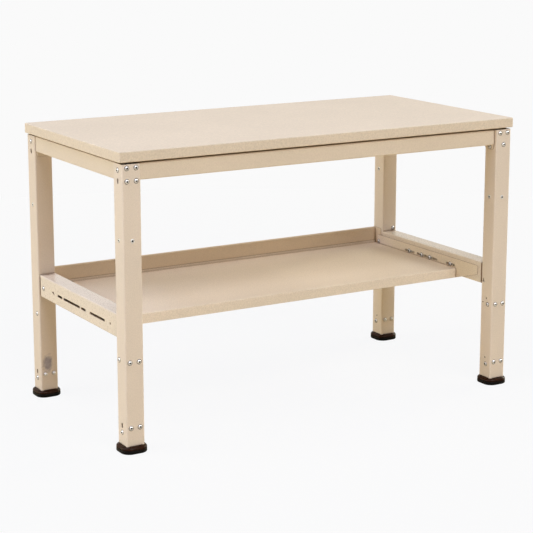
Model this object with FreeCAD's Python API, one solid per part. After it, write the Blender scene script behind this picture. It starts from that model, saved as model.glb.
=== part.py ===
import FreeCAD, Part
import math
import os

# Assembly table: a folded steel top on four square tube legs, tied by aprons under the top, by a
# slotted rail at each end and by a stringer at the back, with a low shelf hung between the rails.
#
# Frame: millimetres, +Z up, origin on the floor under the middle of the top. X runs along the
# length, -Y is the working side (front), -X is the left end.

Vector = FreeCAD.Vector
X_AXIS = Vector(1, 0, 0)
Y_AXIS = Vector(0, 1, 0)
Z_AXIS = Vector(0, 0, 1)
ORIGIN = Vector(0, 0, 0)

# ------------------------------------------------------------------------------- driving sizes
# Top
TABLE_HEIGHT = 772.0          # floor to work surface
TOP_LENGTH = 1220.0
TOP_DEPTH = 600.0
TOP_EDGE = 27.0               # height of the folded-down edge
TOP_SHEET = 2.0
TOP_BEND = 2.6                # outside radius of the folds of the edge
TOP_CORNER = 4.0              # outside radius of the upright corners
TOP_LIP = 18.0                # width of the lip turned in under the edge
SHADOW_GAP = 4.5              # open line between the edge of the top and the frame

# Ribs welded under the top, which carry it on the frame
RIB_WIDTH = 30.0
RIB_FLANGE = 14.0
RIB_SHEET = 1.5
RIB_CLEARANCE = 2.0           # from the turned-in lip of the top

# Legs
LEG_WIDTH = 50.8
LEG_WALL = 2.0
LEG_CORNER = 4.5              # outside radius of the tube's corners
LEG_END_INSET = 7.0           # from the end of the top to the leg
LEG_FRONT_INSET = 0.4         # from the front or back edge of the top to the leg

# Feet
FOOT_HEIGHT = 20.0
FOOT_FLOOR = 6.0              # under the end of the leg
FOOT_OVERHANG = 10.3          # of the sole past each face of the leg
FOOT_CORNER = 22.0
FOOT_GROOVE_Z = 6.0           # start of the groove between sole and cup
FOOT_GROOVE_HEIGHT = 1.6
FOOT_GROOVE_DEPTH = 1.6
FOOT_SOLE_ROUND = 2.2
FOOT_RIM = 2.0                # of the cup's rim past each face of the leg
FOOT_SHOULDER = 7.5           # height over which the cup draws in to its rim
FOOT_FIT = 0.2                # all round the leg

# Plug in the foot of each leg, held by the lowest cross bolts
PLUG_BOTTOM = 22.0
PLUG_HEIGHT = 72.0
PLUG_FIT = 0.4
PLUG_WALL = 6.0

# Sheet used for aprons, rails, shelf and stringer
FRAME_SHEET = 2.0
SHELF_SHEET = 1.5
BEND_INSIDE = 1.6             # inside radius of every fold of the frame
END_PLATE = 3.0               # welded plate that closes the end of an apron or a rail
BUTT_CLEARANCE = 0.3          # between an end plate and the leg it is bolted to

# Aprons
APRON_HEIGHT = 43.0
APRON_FLANGE = 36.0
APRON_LIP = 14.0
APRON_FRONT_RECESS = 10.0     # behind the front face of the legs
APRON_END_RECESS = 3.5        # behind the outer face of the legs
APRON_PLATE_DROP = 12.0       # how far its end plate hangs below the apron
APRON_LIP_RELIEF = 16.0       # length of the lip cut away at each end, clear of the nuts

# End rails: channels open at the bottom, with a row of slots in both webs
RAIL_TOP_Z = 353.0
RAIL_HEIGHT = 61.0
RAIL_RECESS = 4.3             # behind the outer face of the legs
RAIL_LIP = 13.0               # lower edges of both webs, folded inward
LAP_CLEARANCE = 0.3           # between a stringer tab and the side flange of the shelf over it
RAIL_SLOT_DROP = 33.2         # from the top of the rail to the middle of the slots
RAIL_SLOT_WIDTH = 7.0
RAIL_SLOTS = ((-173.0, -80.0), (-55.0, -25.0), (-18.0, 89.0), (96.0, 128.0))
RAIL_HOLE_FROM_LEG = 43.8     # in both webs, near the front leg
RAIL_WEB_BOLT_FROM_LEG = 24.8     # in the outer web, near the rear leg
RAIL_NOTCH = ((148.0, -4.5), (154.0, 4.0), (172.0, 4.0))   # (y, height above the slots)
RAIL_WEB_RELIEF = 5.0         # gap between the end of the outer web and the leg
RAIL_TOP_HOLE = 7.0
RAIL_TOP_HOLE_IN = 9.0        # from the end of the rail
RAIL_TOP_HOLE_OUT = 5.0       # from the middle of the rail towards its outer web

# Shelf
SHELF_TOP_Z = 312.7
SHELF_FRONT_Y = -133.0
SHELF_LIP = 28.0              # front edge, folded down
SHELF_BACK_LIP = 7.3          # back edge, folded up
SHELF_BACK_GAP = 1.1          # between the back lip and the stringer
SHELF_FLANGE = 27.0           # sides, folded up against the rails
SHELF_ARM_GAP = 15.0          # between the front end of a side flange and the front leg
SHELF_ARM_HEIGHT = 25.0       # of a side flange at its front end
SHELF_REAR_TAB_END = 24.0     # from the front face of the rear leg to the end of the side flange
SHELF_SLOTS = ((-128.0, -84.0), (-42.0, 62.0), (74.0, 124.0))
SHELF_RIB_WIDTH = 40.0
SHELF_RIB_HEIGHT = 20.0
SHELF_RIB_FLANGE = 14.0
SHELF_RIB_END_GAP = 10.0      # from the end of the rib to the rail

# Rear stringer, just above the back edge of the shelf
STRINGER_GAP = 5.0            # above the shelf
STRINGER_HEIGHT = 43.0
STRINGER_DEPTH = 13.0
STRINGER_TAB_MARGIN = 7.2     # of its folded ends, in front of the screws through them
STRINGER_TAB_DROP = 12.0      # how far the tabs hang below the stringer
STRINGER_LIP = 10.0

# Fasteners: M6 flanged button-head bolts with a hexagon socket
BOLT_SHANK = 6.0
BOLT_HEAD_DIAMETER = 11.2
BOLT_HEAD = 3.3
BOLT_SOCKET = 4.6             # across flats
BOLT_SOCKET_DEPTH = 2.5
BOLT_FLANGE_DIAMETER = 13.8
BOLT_FLANGE = 0.9
NUT_ACROSS_FLATS = 10.0
BOLT_OVERRUN = 2.5            # past the nut
HOLE_CLEARANCE = 0.4          # radial, round the shank
NUT_HEIGHT = 5.0
NUT_FIT = 0.05                # radial, round the shank
BOLT_PITCH = 25.4             # between the two bolts of a pair
APRON_BOLT_DROP = 9.5         # from the top of the frame to the upper cross bolts
APRON_BOLT_PITCH_Z = 33.0     # from the upper to the lower cross bolts
END_BOLT_STEP = 7.0           # end bolts sit this much lower, clear of the cross bolts
LEG_SCREW_Z = 238.0
LEG_SCREW_LENGTH = 14.0
LEG_LOW_BOLT_Z = 67.0
ACCESSORY_HOLE = 7.5
ACCESSORY_HOLE_Z = 548.0
LEG_SLOT_WIDTH = 7.5
LEG_SLOT_LENGTH = 14.0
LEG_SLOT_DROP = 43.5          # from the top of the frame to the middle of the slot
LEG_LOW_SLOT_Z = 70.0
LEG_LOW_SCREW_Z = 52.0
LEG_HIGH_SCREW_Z = 240.0
LEG_HIGH_SCREW_OFFSET = 10.0
INNER_HIGH_SCREW = (6.0, 235.0)     # (offset towards the outer face, height) in the inner end face
INNER_LOW_SCREW = (4.0, 58.0)
INNER_HOLES = ((-15.0, 238.5), (0.0, 252.0), (0.0, 77.0))
INNER_HOLE = 5.0
KEYHOLE = (-15.0, 300.0)
KEYHOLE_HEAD = 7.0
KEYHOLE_NECK = 4.0
KEYHOLE_NECK_LENGTH = 8.0
RIVET_NUT_DIAMETER = 9.0
RIVET_NUT_LENGTH = 12.0
RAIL_BOLT_DROP = 28.0         # from the top of the rail to the bolts in its end plates
RAIL_BOLT_SPREAD = 22.0
RAIL_SPARE_RISE = 8.0         # of the spare screw in the leg above the rail
SHELF_BOLT_Y = (-104.0, -3.0, 38.0, 101.0)
SHELF_TAB_BOLT = 16.0         # from the front face of the rear leg

# ---------------------------------------------------------------------------- worked-out places
FRAME_TOP = TABLE_HEIGHT - TOP_EDGE - SHADOW_GAP
APRON_BOTTOM = FRAME_TOP - APRON_HEIGHT
LEG_OUTER_X = TOP_LENGTH / 2 - LEG_END_INSET
LEG_OUTER_Y = TOP_DEPTH / 2 - LEG_FRONT_INSET
LEG_INNER_X = LEG_OUTER_X - LEG_WIDTH
LEG_INNER_Y = LEG_OUTER_Y - LEG_WIDTH
LEG_HALF = LEG_WIDTH / 2
LEG_X = LEG_OUTER_X - LEG_HALF
LEG_Y = LEG_OUTER_Y - LEG_HALF
RAIL_OUTER_X = LEG_OUTER_X - RAIL_RECESS
RAIL_INNER_X = LEG_INNER_X - BUTT_CLEARANCE - SHELF_SHEET - LAP_CLEARANCE
RAIL_WIDTH = RAIL_OUTER_X - RAIL_INNER_X
RAIL_BOTTOM_Z = RAIL_TOP_Z - RAIL_HEIGHT
RAIL_SLOT_Z = RAIL_TOP_Z - RAIL_SLOT_DROP
STRINGER_BOTTOM_Z = SHELF_TOP_Z + STRINGER_GAP
STRINGER_FRONT_Y = LEG_OUTER_Y - STRINGER_DEPTH
SHELF_BACK_Y = STRINGER_FRONT_Y - SHELF_BACK_GAP - SHELF_SHEET
HOLE_RADIUS = BOLT_SHANK / 2 + HOLE_CLEARANCE
CROSS_BOLT_Z = (FRAME_TOP - APRON_BOLT_DROP, FRAME_TOP - APRON_BOLT_DROP - APRON_BOLT_PITCH_Z)
END_BOLT_Z = CROSS_BOLT_Z[0] - END_BOLT_STEP
END_SCREW_Z = CROSS_BOLT_Z[1] - END_BOLT_STEP
CORNERS = {
    "front_left": (-1, -1),
    "front_right": (1, -1),
    "rear_left": (-1, 1),
    "rear_right": (1, 1),
}
# One diagonal has the fuller set: a pair of lower cross bolts where the other has a single
# one, and a spare screw above the rail
FULLER_LEGS = ("front_left", "rear_right")


# ------------------------------------------------------------------------------------- helpers
def unit(a, b):
    """Unit vector from point a to point b, both (u, v) pairs."""
    length = math.hypot(b[0] - a[0], b[1] - a[1])
    return ((b[0] - a[0]) / length, (b[1] - a[1]) / length)


def outline(points, radii, origin, u, v):
    """Closed wire through (u, v) points, each corner rounded by an arc of its own radius."""
    def place(p):
        return origin + u * p[0] + v * p[1]

    corners = []
    for i, point in enumerate(points):
        back = unit(point, points[i - 1])
        ahead = unit(point, points[(i + 1) % len(points)])
        radius = radii[i]
        if radius <= 0:
            corners.append((point, None, point))
            continue
        half = math.acos(back[0] * ahead[0] + back[1] * ahead[1]) / 2
        reach = radius / math.tan(half)
        start = (point[0] + back[0] * reach, point[1] + back[1] * reach)
        end = (point[0] + ahead[0] * reach, point[1] + ahead[1] * reach)
        bisector = unit((0, 0), (back[0] + ahead[0], back[1] + ahead[1]))
        dip = radius / math.sin(half) - radius
        middle = (point[0] + bisector[0] * dip, point[1] + bisector[1] * dip)
        corners.append((start, middle, end))
    edges = []
    for i, (start, middle, end) in enumerate(corners):
        previous_end = corners[i - 1][2]
        if math.hypot(start[0] - previous_end[0], start[1] - previous_end[1]) > 1e-6:
            edges.append(Part.makeLine(place(previous_end), place(start)))
        if middle is not None:
            edges.append(Part.Arc(place(start), place(middle), place(end)).toShape())
    return Part.Wire(edges)


def extruded(points, radii, origin, u, v, run):
    """Solid made by carrying a rounded (u, v) outline along the vector run."""
    return Part.Face(outline(points, radii, origin, u, v)).extrude(run)


def folded(path, sheet, bend, origin, u, v, run):
    """Sheet bent along a path of (u, v) points and carried along run.

    The path is the skin on the left of its own direction; the sheet lies on the right of it.
    Each fold has the given inside radius, and that radius plus the sheet on its outer side.
    """
    count = len(path)
    other = []
    left_radii = []
    right_radii = []
    for i, point in enumerate(path):
        first = unit(path[i - 1], point) if i > 0 else unit(point, path[1])
        second = unit(point, path[i + 1]) if i < count - 1 else first
        n1 = (first[1], -first[0])
        n2 = (second[1], -second[0])
        share = sheet / (1 + n1[0] * n2[0] + n1[1] * n2[1])
        other.append((point[0] + (n1[0] + n2[0]) * share, point[1] + (n1[1] + n2[1]) * share))
        turn = first[0] * second[1] - first[1] * second[0]
        inside_left = turn > 1e-9
        inside_right = turn < -1e-9
        left_radii.append(bend if inside_left else bend + sheet if inside_right else 0)
        right_radii.append(bend if inside_right else bend + sheet if inside_left else 0)
    points = list(path) + other[::-1]
    return extruded(points, left_radii + right_radii[::-1], origin, u, v, run)


def rounded_block(size_x, size_y, corner, z0, z1, centre_x=0.0, centre_y=0.0):
    """Upright block with rounded upright edges."""
    hx = size_x / 2
    hy = size_y / 2
    points = ((-hx, -hy), (hx, -hy), (hx, hy), (-hx, hy))
    origin = Vector(centre_x, centre_y, z0)
    return extruded(points, (corner,) * 4, origin, X_AXIS, Y_AXIS, Vector(0, 0, z1 - z0))


def rod(radius, start, direction, length):
    """Round bar or drill from a start point along a direction."""
    return Part.makeCylinder(radius, length, start, direction)


def slot_tool(width, length, centre, along, through, depth):
    """Slot-shaped cutter: round ends along one direction, cutting along another, both ways."""
    r = width / 2
    half = length / 2
    start = centre - through * (depth / 2)
    points = ((-half, -r), (half, -r), (half, r), (-half, r))
    across = through.cross(along)
    radii = (r - 0.001,) * 4
    return extruded(points, radii, start, along, across, through * depth)


def hexagon(across_flats, start, direction, height):
    """Hexagonal prism that stands on a start point."""
    side = Z_AXIS if abs(direction.z) < 0.5 else X_AXIS
    u = direction.cross(side)
    reach = across_flats / 2 / math.cos(math.pi / 6)
    points = []
    for i in range(6):
        angle = math.pi / 3 * i
        points.append((reach * math.cos(angle), reach * math.sin(angle)))
    return extruded(points, (0,) * 6, start, u, side, direction * height)


def bolt(seat, direction, grip):
    """Flanged button-head bolt: its head sits at seat and its shank runs along direction.

    The domed head is the cap of a sphere, with a hexagon socket sunk in its crown.
    """
    outward = direction * -1
    rise = BOLT_HEAD - BOLT_FLANGE
    radius = ((BOLT_HEAD_DIAMETER / 2) ** 2 + rise ** 2) / (2 * rise)
    centre = seat + outward * (BOLT_HEAD - radius)
    latitude = math.degrees(math.asin(1 - rise / radius))
    dome = Part.makeSphere(radius, centre, outward, latitude, 90, 360)
    flange = rod(BOLT_FLANGE_DIAMETER / 2, seat, outward, BOLT_FLANGE)
    shank = rod(BOLT_SHANK / 2, seat, direction, grip)
    crown = seat + outward * (BOLT_HEAD + 1)
    socket = hexagon(BOLT_SOCKET, crown, direction, BOLT_SOCKET_DEPTH + 1)
    return flange.fuse(dome).fuse(shank).removeSplitter().cut(socket)


def nut(seat, direction):
    """Hexagon nut that stands on seat; direction points away from the clamped part."""
    body = hexagon(NUT_ACROSS_FLATS, seat, direction, NUT_HEIGHT)
    return body.cut(rod(BOLT_SHANK / 2 + NUT_FIT, seat, direction, NUT_HEIGHT))


def rivet_nut(face_point, inward):
    """Blind rivet nut in a leg wall: a sleeve behind the outer face, round the screw."""
    sleeve = rod(RIVET_NUT_DIAMETER / 2, face_point + inward * LEG_WALL, inward, RIVET_NUT_LENGTH)
    return sleeve.cut(rod(BOLT_SHANK / 2 + NUT_FIT, face_point, inward, LEG_SCREW_LENGTH * 2))


def turned(shape, degrees):
    """Copy of a shape turned about the vertical axis of the table."""
    copy = shape.copy()
    copy.rotate(ORIGIN, Z_AXIS, degrees)
    return copy


def cut_all(shape, tools):
    """Shape with every tool taken out of it."""
    return shape.cut(Part.makeCompound(tools)) if tools else shape


# ----------------------------------------------------------------------------------- the top
def table_top():
    """Pan: flat sheet with folded-down edges and a lip turned in all round underneath."""
    bottom = TABLE_HEIGHT - TOP_EDGE
    outer = rounded_block(TOP_LENGTH, TOP_DEPTH, TOP_CORNER, bottom, TABLE_HEIGHT)
    rim = [e for e in outer.Edges if abs(e.BoundBox.ZMax - e.BoundBox.ZMin) < 1e-6]
    outer = outer.makeFillet(TOP_BEND, rim)
    inside = rounded_block(
        TOP_LENGTH - 2 * TOP_SHEET, TOP_DEPTH - 2 * TOP_SHEET, TOP_CORNER - TOP_SHEET,
        bottom + TOP_SHEET, TABLE_HEIGHT - TOP_SHEET)
    window = rounded_block(
        TOP_LENGTH - 2 * TOP_LIP, TOP_DEPTH - 2 * TOP_LIP, TOP_CORNER,
        bottom - TOP_SHEET, bottom + 2 * TOP_SHEET)
    return outer.cut(inside).cut(window)


def top_rib(centre_y):
    """Hat-shaped rib along the length: flanges on the sheet, crown on the frame."""
    half = RIB_WIDTH / 2
    top = TABLE_HEIGHT - TOP_SHEET
    crown = FRAME_TOP + RIB_SHEET
    path = (
        (-half - RIB_FLANGE, top),
        (-half, top),
        (-half, crown),
        (half, crown),
        (half, top),
        (half + RIB_FLANGE, top),
    )
    length = TOP_LENGTH - 2 * (TOP_LIP + RIB_CLEARANCE)
    origin = Vector(-length / 2, centre_y, 0)
    return folded(path, RIB_SHEET, BEND_INSIDE, origin, Y_AXIS, Z_AXIS, X_AXIS * length)


def edge_rib_y():
    """Distance of the front and rear ribs from the middle, clear of the turned-in lip."""
    return TOP_DEPTH / 2 - TOP_LIP - RIB_CLEARANCE - RIB_WIDTH / 2


# ------------------------------------------------------------------------------------ aprons
def apron(span, face_distance, plate_holes):
    """Channel along X with its face towards -Y, a plate welded in each end.

    plate_holes lists (y, z) of the bolt holes through both end plates.
    """
    face = -face_distance
    path = (
        (face + APRON_LIP, APRON_BOTTOM),
        (face, APRON_BOTTOM),
        (face, FRAME_TOP),
        (face + APRON_FLANGE, FRAME_TOP),
    )
    channel = folded(path, FRAME_SHEET, BEND_INSIDE, Vector(-span / 2, 0, 0),
                     Y_AXIS, Z_AXIS, X_AXIS * span)
    plate = (
        (face + FRAME_SHEET, APRON_BOTTOM - APRON_PLATE_DROP),
        (face + APRON_FLANGE, APRON_BOTTOM - APRON_PLATE_DROP),
        (face + APRON_FLANGE, FRAME_TOP - FRAME_SHEET),
        (face + FRAME_SHEET, FRAME_TOP - FRAME_SHEET),
    )
    radii = (4.0, 4.0, 0, 0)
    for start in (-span / 2, span / 2 - END_PLATE):
        end_plate = extruded(plate, radii, Vector(start, 0, 0), Y_AXIS, Z_AXIS,
                             X_AXIS * END_PLATE)
        channel = channel.fuse(end_plate)
    relief_run = APRON_LIP_RELIEF - END_PLATE
    tools = []
    for start, relief in ((-span / 2, -span / 2 + END_PLATE),
                          (span / 2 - END_PLATE, span / 2 - APRON_LIP_RELIEF)):
        tools += [rod(HOLE_RADIUS, Vector(start, y, z), X_AXIS, END_PLATE)
                  for y, z in plate_holes]
        tools.append(Part.makeBox(relief_run, APRON_LIP, FRAME_SHEET + BEND_INSIDE,
                                  Vector(relief, face + FRAME_SHEET, APRON_BOTTOM)))
    return cut_all(channel.removeSplitter(), tools)


def long_apron():
    """Front apron; the rear one is the same part turned about."""
    span = 2 * (LEG_INNER_X - BUTT_CLEARANCE)
    holes = [(-LEG_Y, END_BOLT_Z), (-LEG_Y, END_SCREW_Z)]
    return apron(span, LEG_OUTER_Y - APRON_FRONT_RECESS, holes)


def short_apron():
    """Apron of one end, drawn at the front and turned to its place."""
    span = 2 * (LEG_INNER_Y - BUTT_CLEARANCE)
    half = BOLT_PITCH / 2
    holes = [(-LEG_X + side * half, z) for side in (-1, 1) for z in CROSS_BOLT_Z]
    holes.append((-LEG_X, CROSS_BOLT_Z[1]))
    return apron(span, LEG_OUTER_X - APRON_END_RECESS, holes)


# -------------------------------------------------------------------------------------- legs
def cross_bolt_places(corner):
    """(x, z) of the bolts that run front to back through a leg, at the top of the frame."""
    side = CORNERS[corner][0]
    half = BOLT_PITCH / 2
    places = [(side * LEG_X - half, CROSS_BOLT_Z[0]), (side * LEG_X + half, CROSS_BOLT_Z[0])]
    if corner in FULLER_LEGS:
        places += [(side * LEG_X - half, CROSS_BOLT_Z[1]), (side * LEG_X + half, CROSS_BOLT_Z[1])]
    else:
        places.append((side * LEG_X, CROSS_BOLT_Z[1]))
    return places


def low_bolt_places(corner):
    """(x, z) of the two bolts that run front to back through the plug of a leg."""
    side = CORNERS[corner][0]
    return [(side * LEG_X + step * BOLT_PITCH / 2, LEG_LOW_BOLT_Z) for step in (-1, 1)]


def leg_screw_places(corner):
    """(point, inward direction) of the short screws in the outer faces of a leg."""
    sx, sy = CORNERS[corner]
    places = []
    for step in (-1, 1):
        point = Vector(sx * LEG_X + step * BOLT_PITCH / 2, sy * LEG_OUTER_Y, LEG_SCREW_Z)
        places.append((point, Y_AXIS * -sy))
    high = Vector(sx * LEG_OUTER_X, sy * (LEG_Y - LEG_HIGH_SCREW_OFFSET), LEG_HIGH_SCREW_Z)
    low = Vector(sx * LEG_OUTER_X, sy * LEG_Y, LEG_LOW_SCREW_Z)
    places.append((high, X_AXIS * -sx))
    places.append((low, X_AXIS * -sx))
    for place in (INNER_HIGH_SCREW, INNER_LOW_SCREW):
        places.append((inner_face_point(corner, *place), X_AXIS * sx))
    return places


def inner_face_point(corner, outward, z):
    """Point on the inner end face of a leg, outward of its middle line, at a height."""
    sx, sy = CORNERS[corner]
    return Vector(sx * LEG_INNER_X, sy * (LEG_Y + outward), z)


def rail_bolt_places(corner):
    """(x, z) of the bolts that hold the end plate of a rail to a leg."""
    side = CORNERS[corner][0]
    middle = (RAIL_OUTER_X + RAIL_INNER_X) / 2
    low = RAIL_TOP_Z - RAIL_BOLT_DROP
    return [(side * (middle + step * RAIL_BOLT_SPREAD / 2), low) for step in (-1, 1)]


def rail_spare_places(corner):
    """(x, z) of the spare screw just above the rail, in the two legs that have one."""
    if corner not in FULLER_LEGS:
        return []
    side = CORNERS[corner][0]
    return [(side * (LEG_X + BOLT_PITCH / 2), RAIL_TOP_Z + RAIL_SPARE_RISE)]


def leg(corner):
    """Square tube with the holes and slots of one corner."""
    sx, sy = CORNERS[corner]
    cx = sx * LEG_X
    cy = sy * LEG_Y
    tube = rounded_block(LEG_WIDTH, LEG_WIDTH, LEG_CORNER, FOOT_FLOOR, FRAME_TOP, cx, cy)
    bore = LEG_WIDTH - 2 * LEG_WALL
    tube = tube.cut(rounded_block(bore, bore, LEG_CORNER - LEG_WALL,
                                  FOOT_FLOOR - 1, FRAME_TOP + 1, cx, cy))
    tools = []
    for x, z in cross_bolt_places(corner) + low_bolt_places(corner):
        start = Vector(x, cy - LEG_WIDTH, z)
        tools.append(rod(HOLE_RADIUS, start, Y_AXIS, 2 * LEG_WIDTH))
    tools.append(rod(HOLE_RADIUS, Vector(cx - LEG_WIDTH, cy, END_BOLT_Z), X_AXIS, 2 * LEG_WIDTH))
    # Blind holes: short screws, the screws of the apron, rail, shelf and stringer
    inner_x = sx * LEG_INNER_X
    inner_y = sy * LEG_INNER_Y
    blind = [(point, inward) for point, inward in leg_screw_places(corner)]
    blind.append((Vector(inner_x, cy, END_SCREW_Z), X_AXIS * sx))
    blind += [(Vector(x, inner_y, z), Y_AXIS * sy)
              for x, z in rail_bolt_places(corner) + rail_spare_places(corner)]
    if sy > 0:
        blind.append((Vector(inner_x, LEG_INNER_Y + SHELF_TAB_BOLT, RAIL_SLOT_Z), X_AXIS * sx))
    for point, inward in blind:
        tools.append(rod(HOLE_RADIUS, point - inward, inward, LEG_WALL + 2))
    # Small open holes and a keyhole in the inner end face
    inward = X_AXIS * sx
    for place in INNER_HOLES:
        at = inner_face_point(corner, *place) - inward
        tools.append(rod(INNER_HOLE / 2, at, inward, LEG_WALL + 2))
    head = inner_face_point(corner, *KEYHOLE)
    neck = head + Z_AXIS * (KEYHOLE_NECK_LENGTH / 2)
    tools.append(rod(KEYHOLE_HEAD / 2, head - inward, inward, LEG_WALL + 2))
    tools.append(slot_tool(KEYHOLE_NECK, KEYHOLE_NECK_LENGTH + KEYHOLE_NECK, neck, Z_AXIS, X_AXIS,
                           3 * LEG_WALL))
    # Open accessory holes at one height: through both end faces, and in the outer long face
    middle = Vector(cx, cy, ACCESSORY_HOLE_Z)
    tools.append(rod(ACCESSORY_HOLE / 2, middle - X_AXIS * LEG_WIDTH, X_AXIS, 2 * LEG_WIDTH))
    tools.append(rod(ACCESSORY_HOLE / 2, middle, Y_AXIS * sy, LEG_WIDTH))
    # Upright slots in the outer end face
    for z in (FRAME_TOP - LEG_SLOT_DROP, LEG_LOW_SLOT_Z):
        centre = Vector(sx * LEG_OUTER_X, cy, z)
        tools.append(slot_tool(LEG_SLOT_WIDTH, LEG_SLOT_LENGTH, centre, Z_AXIS, X_AXIS,
                               3 * LEG_WALL))
    return cut_all(tube, tools)


def leg_plug(corner):
    """Short thick tube inside the foot of a leg, with the two lowest cross bolts through it."""
    sx, sy = CORNERS[corner]
    cx = sx * LEG_X
    cy = sy * LEG_Y
    size = LEG_WIDTH - 2 * LEG_WALL - 2 * PLUG_FIT
    top = PLUG_BOTTOM + PLUG_HEIGHT
    plug = rounded_block(size, size, LEG_CORNER - LEG_WALL, PLUG_BOTTOM, top, cx, cy)
    hollow = size - 2 * PLUG_WALL
    plug = plug.cut(rounded_block(hollow, hollow, LEG_WALL, PLUG_BOTTOM - 1, top + 1, cx, cy))
    drills = [rod(HOLE_RADIUS, Vector(x, cy - LEG_WIDTH, z), Y_AXIS, 2 * LEG_WIDTH)
              for x, z in low_bolt_places(corner)]
    low_points = [place for place in leg_screw_places(corner) if place[0].z < top]
    drills += [rod(RIVET_NUT_DIAMETER / 2 + HOLE_CLEARANCE, point, inward, LEG_HALF)
               for point, inward in low_points]
    return cut_all(plug, drills)


def foot(corner):
    """Moulded boot: a sole, a groove and a swelling cup that draws in to its rim at the leg."""
    sx, sy = CORNERS[corner]
    cx = sx * LEG_X
    cy = sy * LEG_Y
    size = LEG_WIDTH + 2 * FOOT_OVERHANG
    groove_top = FOOT_GROOVE_Z + FOOT_GROOVE_HEIGHT
    sole = rounded_block(size, size, FOOT_CORNER, 0, FOOT_GROOVE_Z, cx, cy)
    tread = [e for e in sole.Edges if e.BoundBox.ZMax < 1e-6]
    sole = sole.makeFillet(FOOT_SOLE_ROUND, tread)
    # (height, how far the section is drawn in from the outline of the sole)
    rim_in = FOOT_OVERHANG - FOOT_RIM
    steps = (
        (FOOT_GROOVE_Z, FOOT_GROOVE_DEPTH),
        (groove_top, FOOT_GROOVE_DEPTH),
        (groove_top + FOOT_GROOVE_HEIGHT, 0.0),
        (FOOT_HEIGHT - FOOT_SHOULDER, 0.0),
        (FOOT_HEIGHT - FOOT_SHOULDER / 3, rim_in / 2),
        (FOOT_HEIGHT, rim_in),
    )
    sections = []
    for z, inset in steps:
        half = size / 2 - inset
        corners = ((-half, -half), (half, -half), (half, half), (-half, half))
        radii = (FOOT_CORNER - inset,) * 4
        sections.append(outline(corners, radii, Vector(cx, cy, z), X_AXIS, Y_AXIS))
    cup = Part.makeLoft(sections, True, True)
    pocket_size = LEG_WIDTH + 2 * FOOT_FIT
    pocket = rounded_block(pocket_size, pocket_size, LEG_CORNER + FOOT_FIT,
                           FOOT_FLOOR, FOOT_HEIGHT + 1, cx, cy)
    return sole.fuse(cup).removeSplitter().cut(pocket)


# ---------------------------------------------------------------------------- rails and shelf
def end_rail():
    """Left end rail: a lipped channel with slotted webs and a plate welded in each end.

    The right one is the same part turned about.
    """
    length = 2 * (LEG_INNER_Y - BUTT_CLEARANCE)
    start = -length / 2
    outer = -RAIL_OUTER_X
    inner = -RAIL_INNER_X
    path = (
        (outer + RAIL_LIP, RAIL_BOTTOM_Z),
        (outer, RAIL_BOTTOM_Z),
        (outer, RAIL_TOP_Z),
        (inner, RAIL_TOP_Z),
        (inner, RAIL_BOTTOM_Z),
        (inner - RAIL_LIP, RAIL_BOTTOM_Z),
    )
    channel = folded(path, FRAME_SHEET, BEND_INSIDE, Vector(0, start, 0),
                     X_AXIS, Z_AXIS, Y_AXIS * length)
    plate = (
        (outer + FRAME_SHEET, RAIL_BOTTOM_Z + FRAME_SHEET),
        (inner - FRAME_SHEET, RAIL_BOTTOM_Z + FRAME_SHEET),
        (inner - FRAME_SHEET, RAIL_TOP_Z - FRAME_SHEET),
        (outer + FRAME_SHEET, RAIL_TOP_Z - FRAME_SHEET),
    )
    plate_starts = (start, -start - END_PLATE)
    for y in plate_starts:
        channel = channel.fuse(extruded(plate, (0,) * 4, Vector(0, y, 0), X_AXIS, Z_AXIS,
                                        Y_AXIS * END_PLATE))
    channel = channel.removeSplitter()
    middle = (outer + inner) / 2
    reach = RAIL_WIDTH + 20
    tools = []
    for y0, y1 in RAIL_SLOTS:
        centre = Vector(middle, (y0 + y1) / 2, RAIL_SLOT_Z)
        tools.append(slot_tool(RAIL_SLOT_WIDTH, y1 - y0, centre, Y_AXIS, X_AXIS, reach))
    hole_y = RAIL_HOLE_FROM_LEG - LEG_INNER_Y
    tools.append(rod(HOLE_RADIUS, Vector(middle - reach / 2, hole_y, RAIL_SLOT_Z),
                     X_AXIS, reach))
    # What only the outer web has: a bolt hole, a cornered notch, and relief beside the legs
    at_web = Vector(outer - 1, 0, RAIL_SLOT_Z)
    through_web = X_AXIS * (FRAME_SHEET + 2)
    bolt_at = at_web + Y_AXIS * (LEG_INNER_Y - RAIL_WEB_BOLT_FROM_LEG)
    tools.append(rod(HOLE_RADIUS, bolt_at, X_AXIS, FRAME_SHEET + 2))
    tools.append(extruded(RAIL_NOTCH, (1.0,) * 3, at_web, Y_AXIS, Z_AXIS, through_web))
    bend = FRAME_SHEET + BEND_INSIDE
    for y in (start, -start - RAIL_WEB_RELIEF):
        for width, height in ((FRAME_SHEET, RAIL_HEIGHT - bend), (bend, bend),
                              (RAIL_LIP, FRAME_SHEET)):
            tools.append(Part.makeBox(width + 1, RAIL_WEB_RELIEF, height + 1,
                                      Vector(outer - 1, y, RAIL_BOTTOM_Z - 1)))
    for y in (start + RAIL_TOP_HOLE_IN, -start - RAIL_TOP_HOLE_IN):
        at = Vector(middle - RAIL_TOP_HOLE_OUT, y, RAIL_TOP_Z - 2 * FRAME_SHEET)
        tools.append(rod(RAIL_TOP_HOLE / 2, at, Z_AXIS, 4 * FRAME_SHEET))
    for x, z in rail_bolt_places("front_left"):
        tools += [rod(HOLE_RADIUS, Vector(x, y, z), Y_AXIS, END_PLATE) for y in plate_starts]
    return cut_all(channel, tools)


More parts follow.
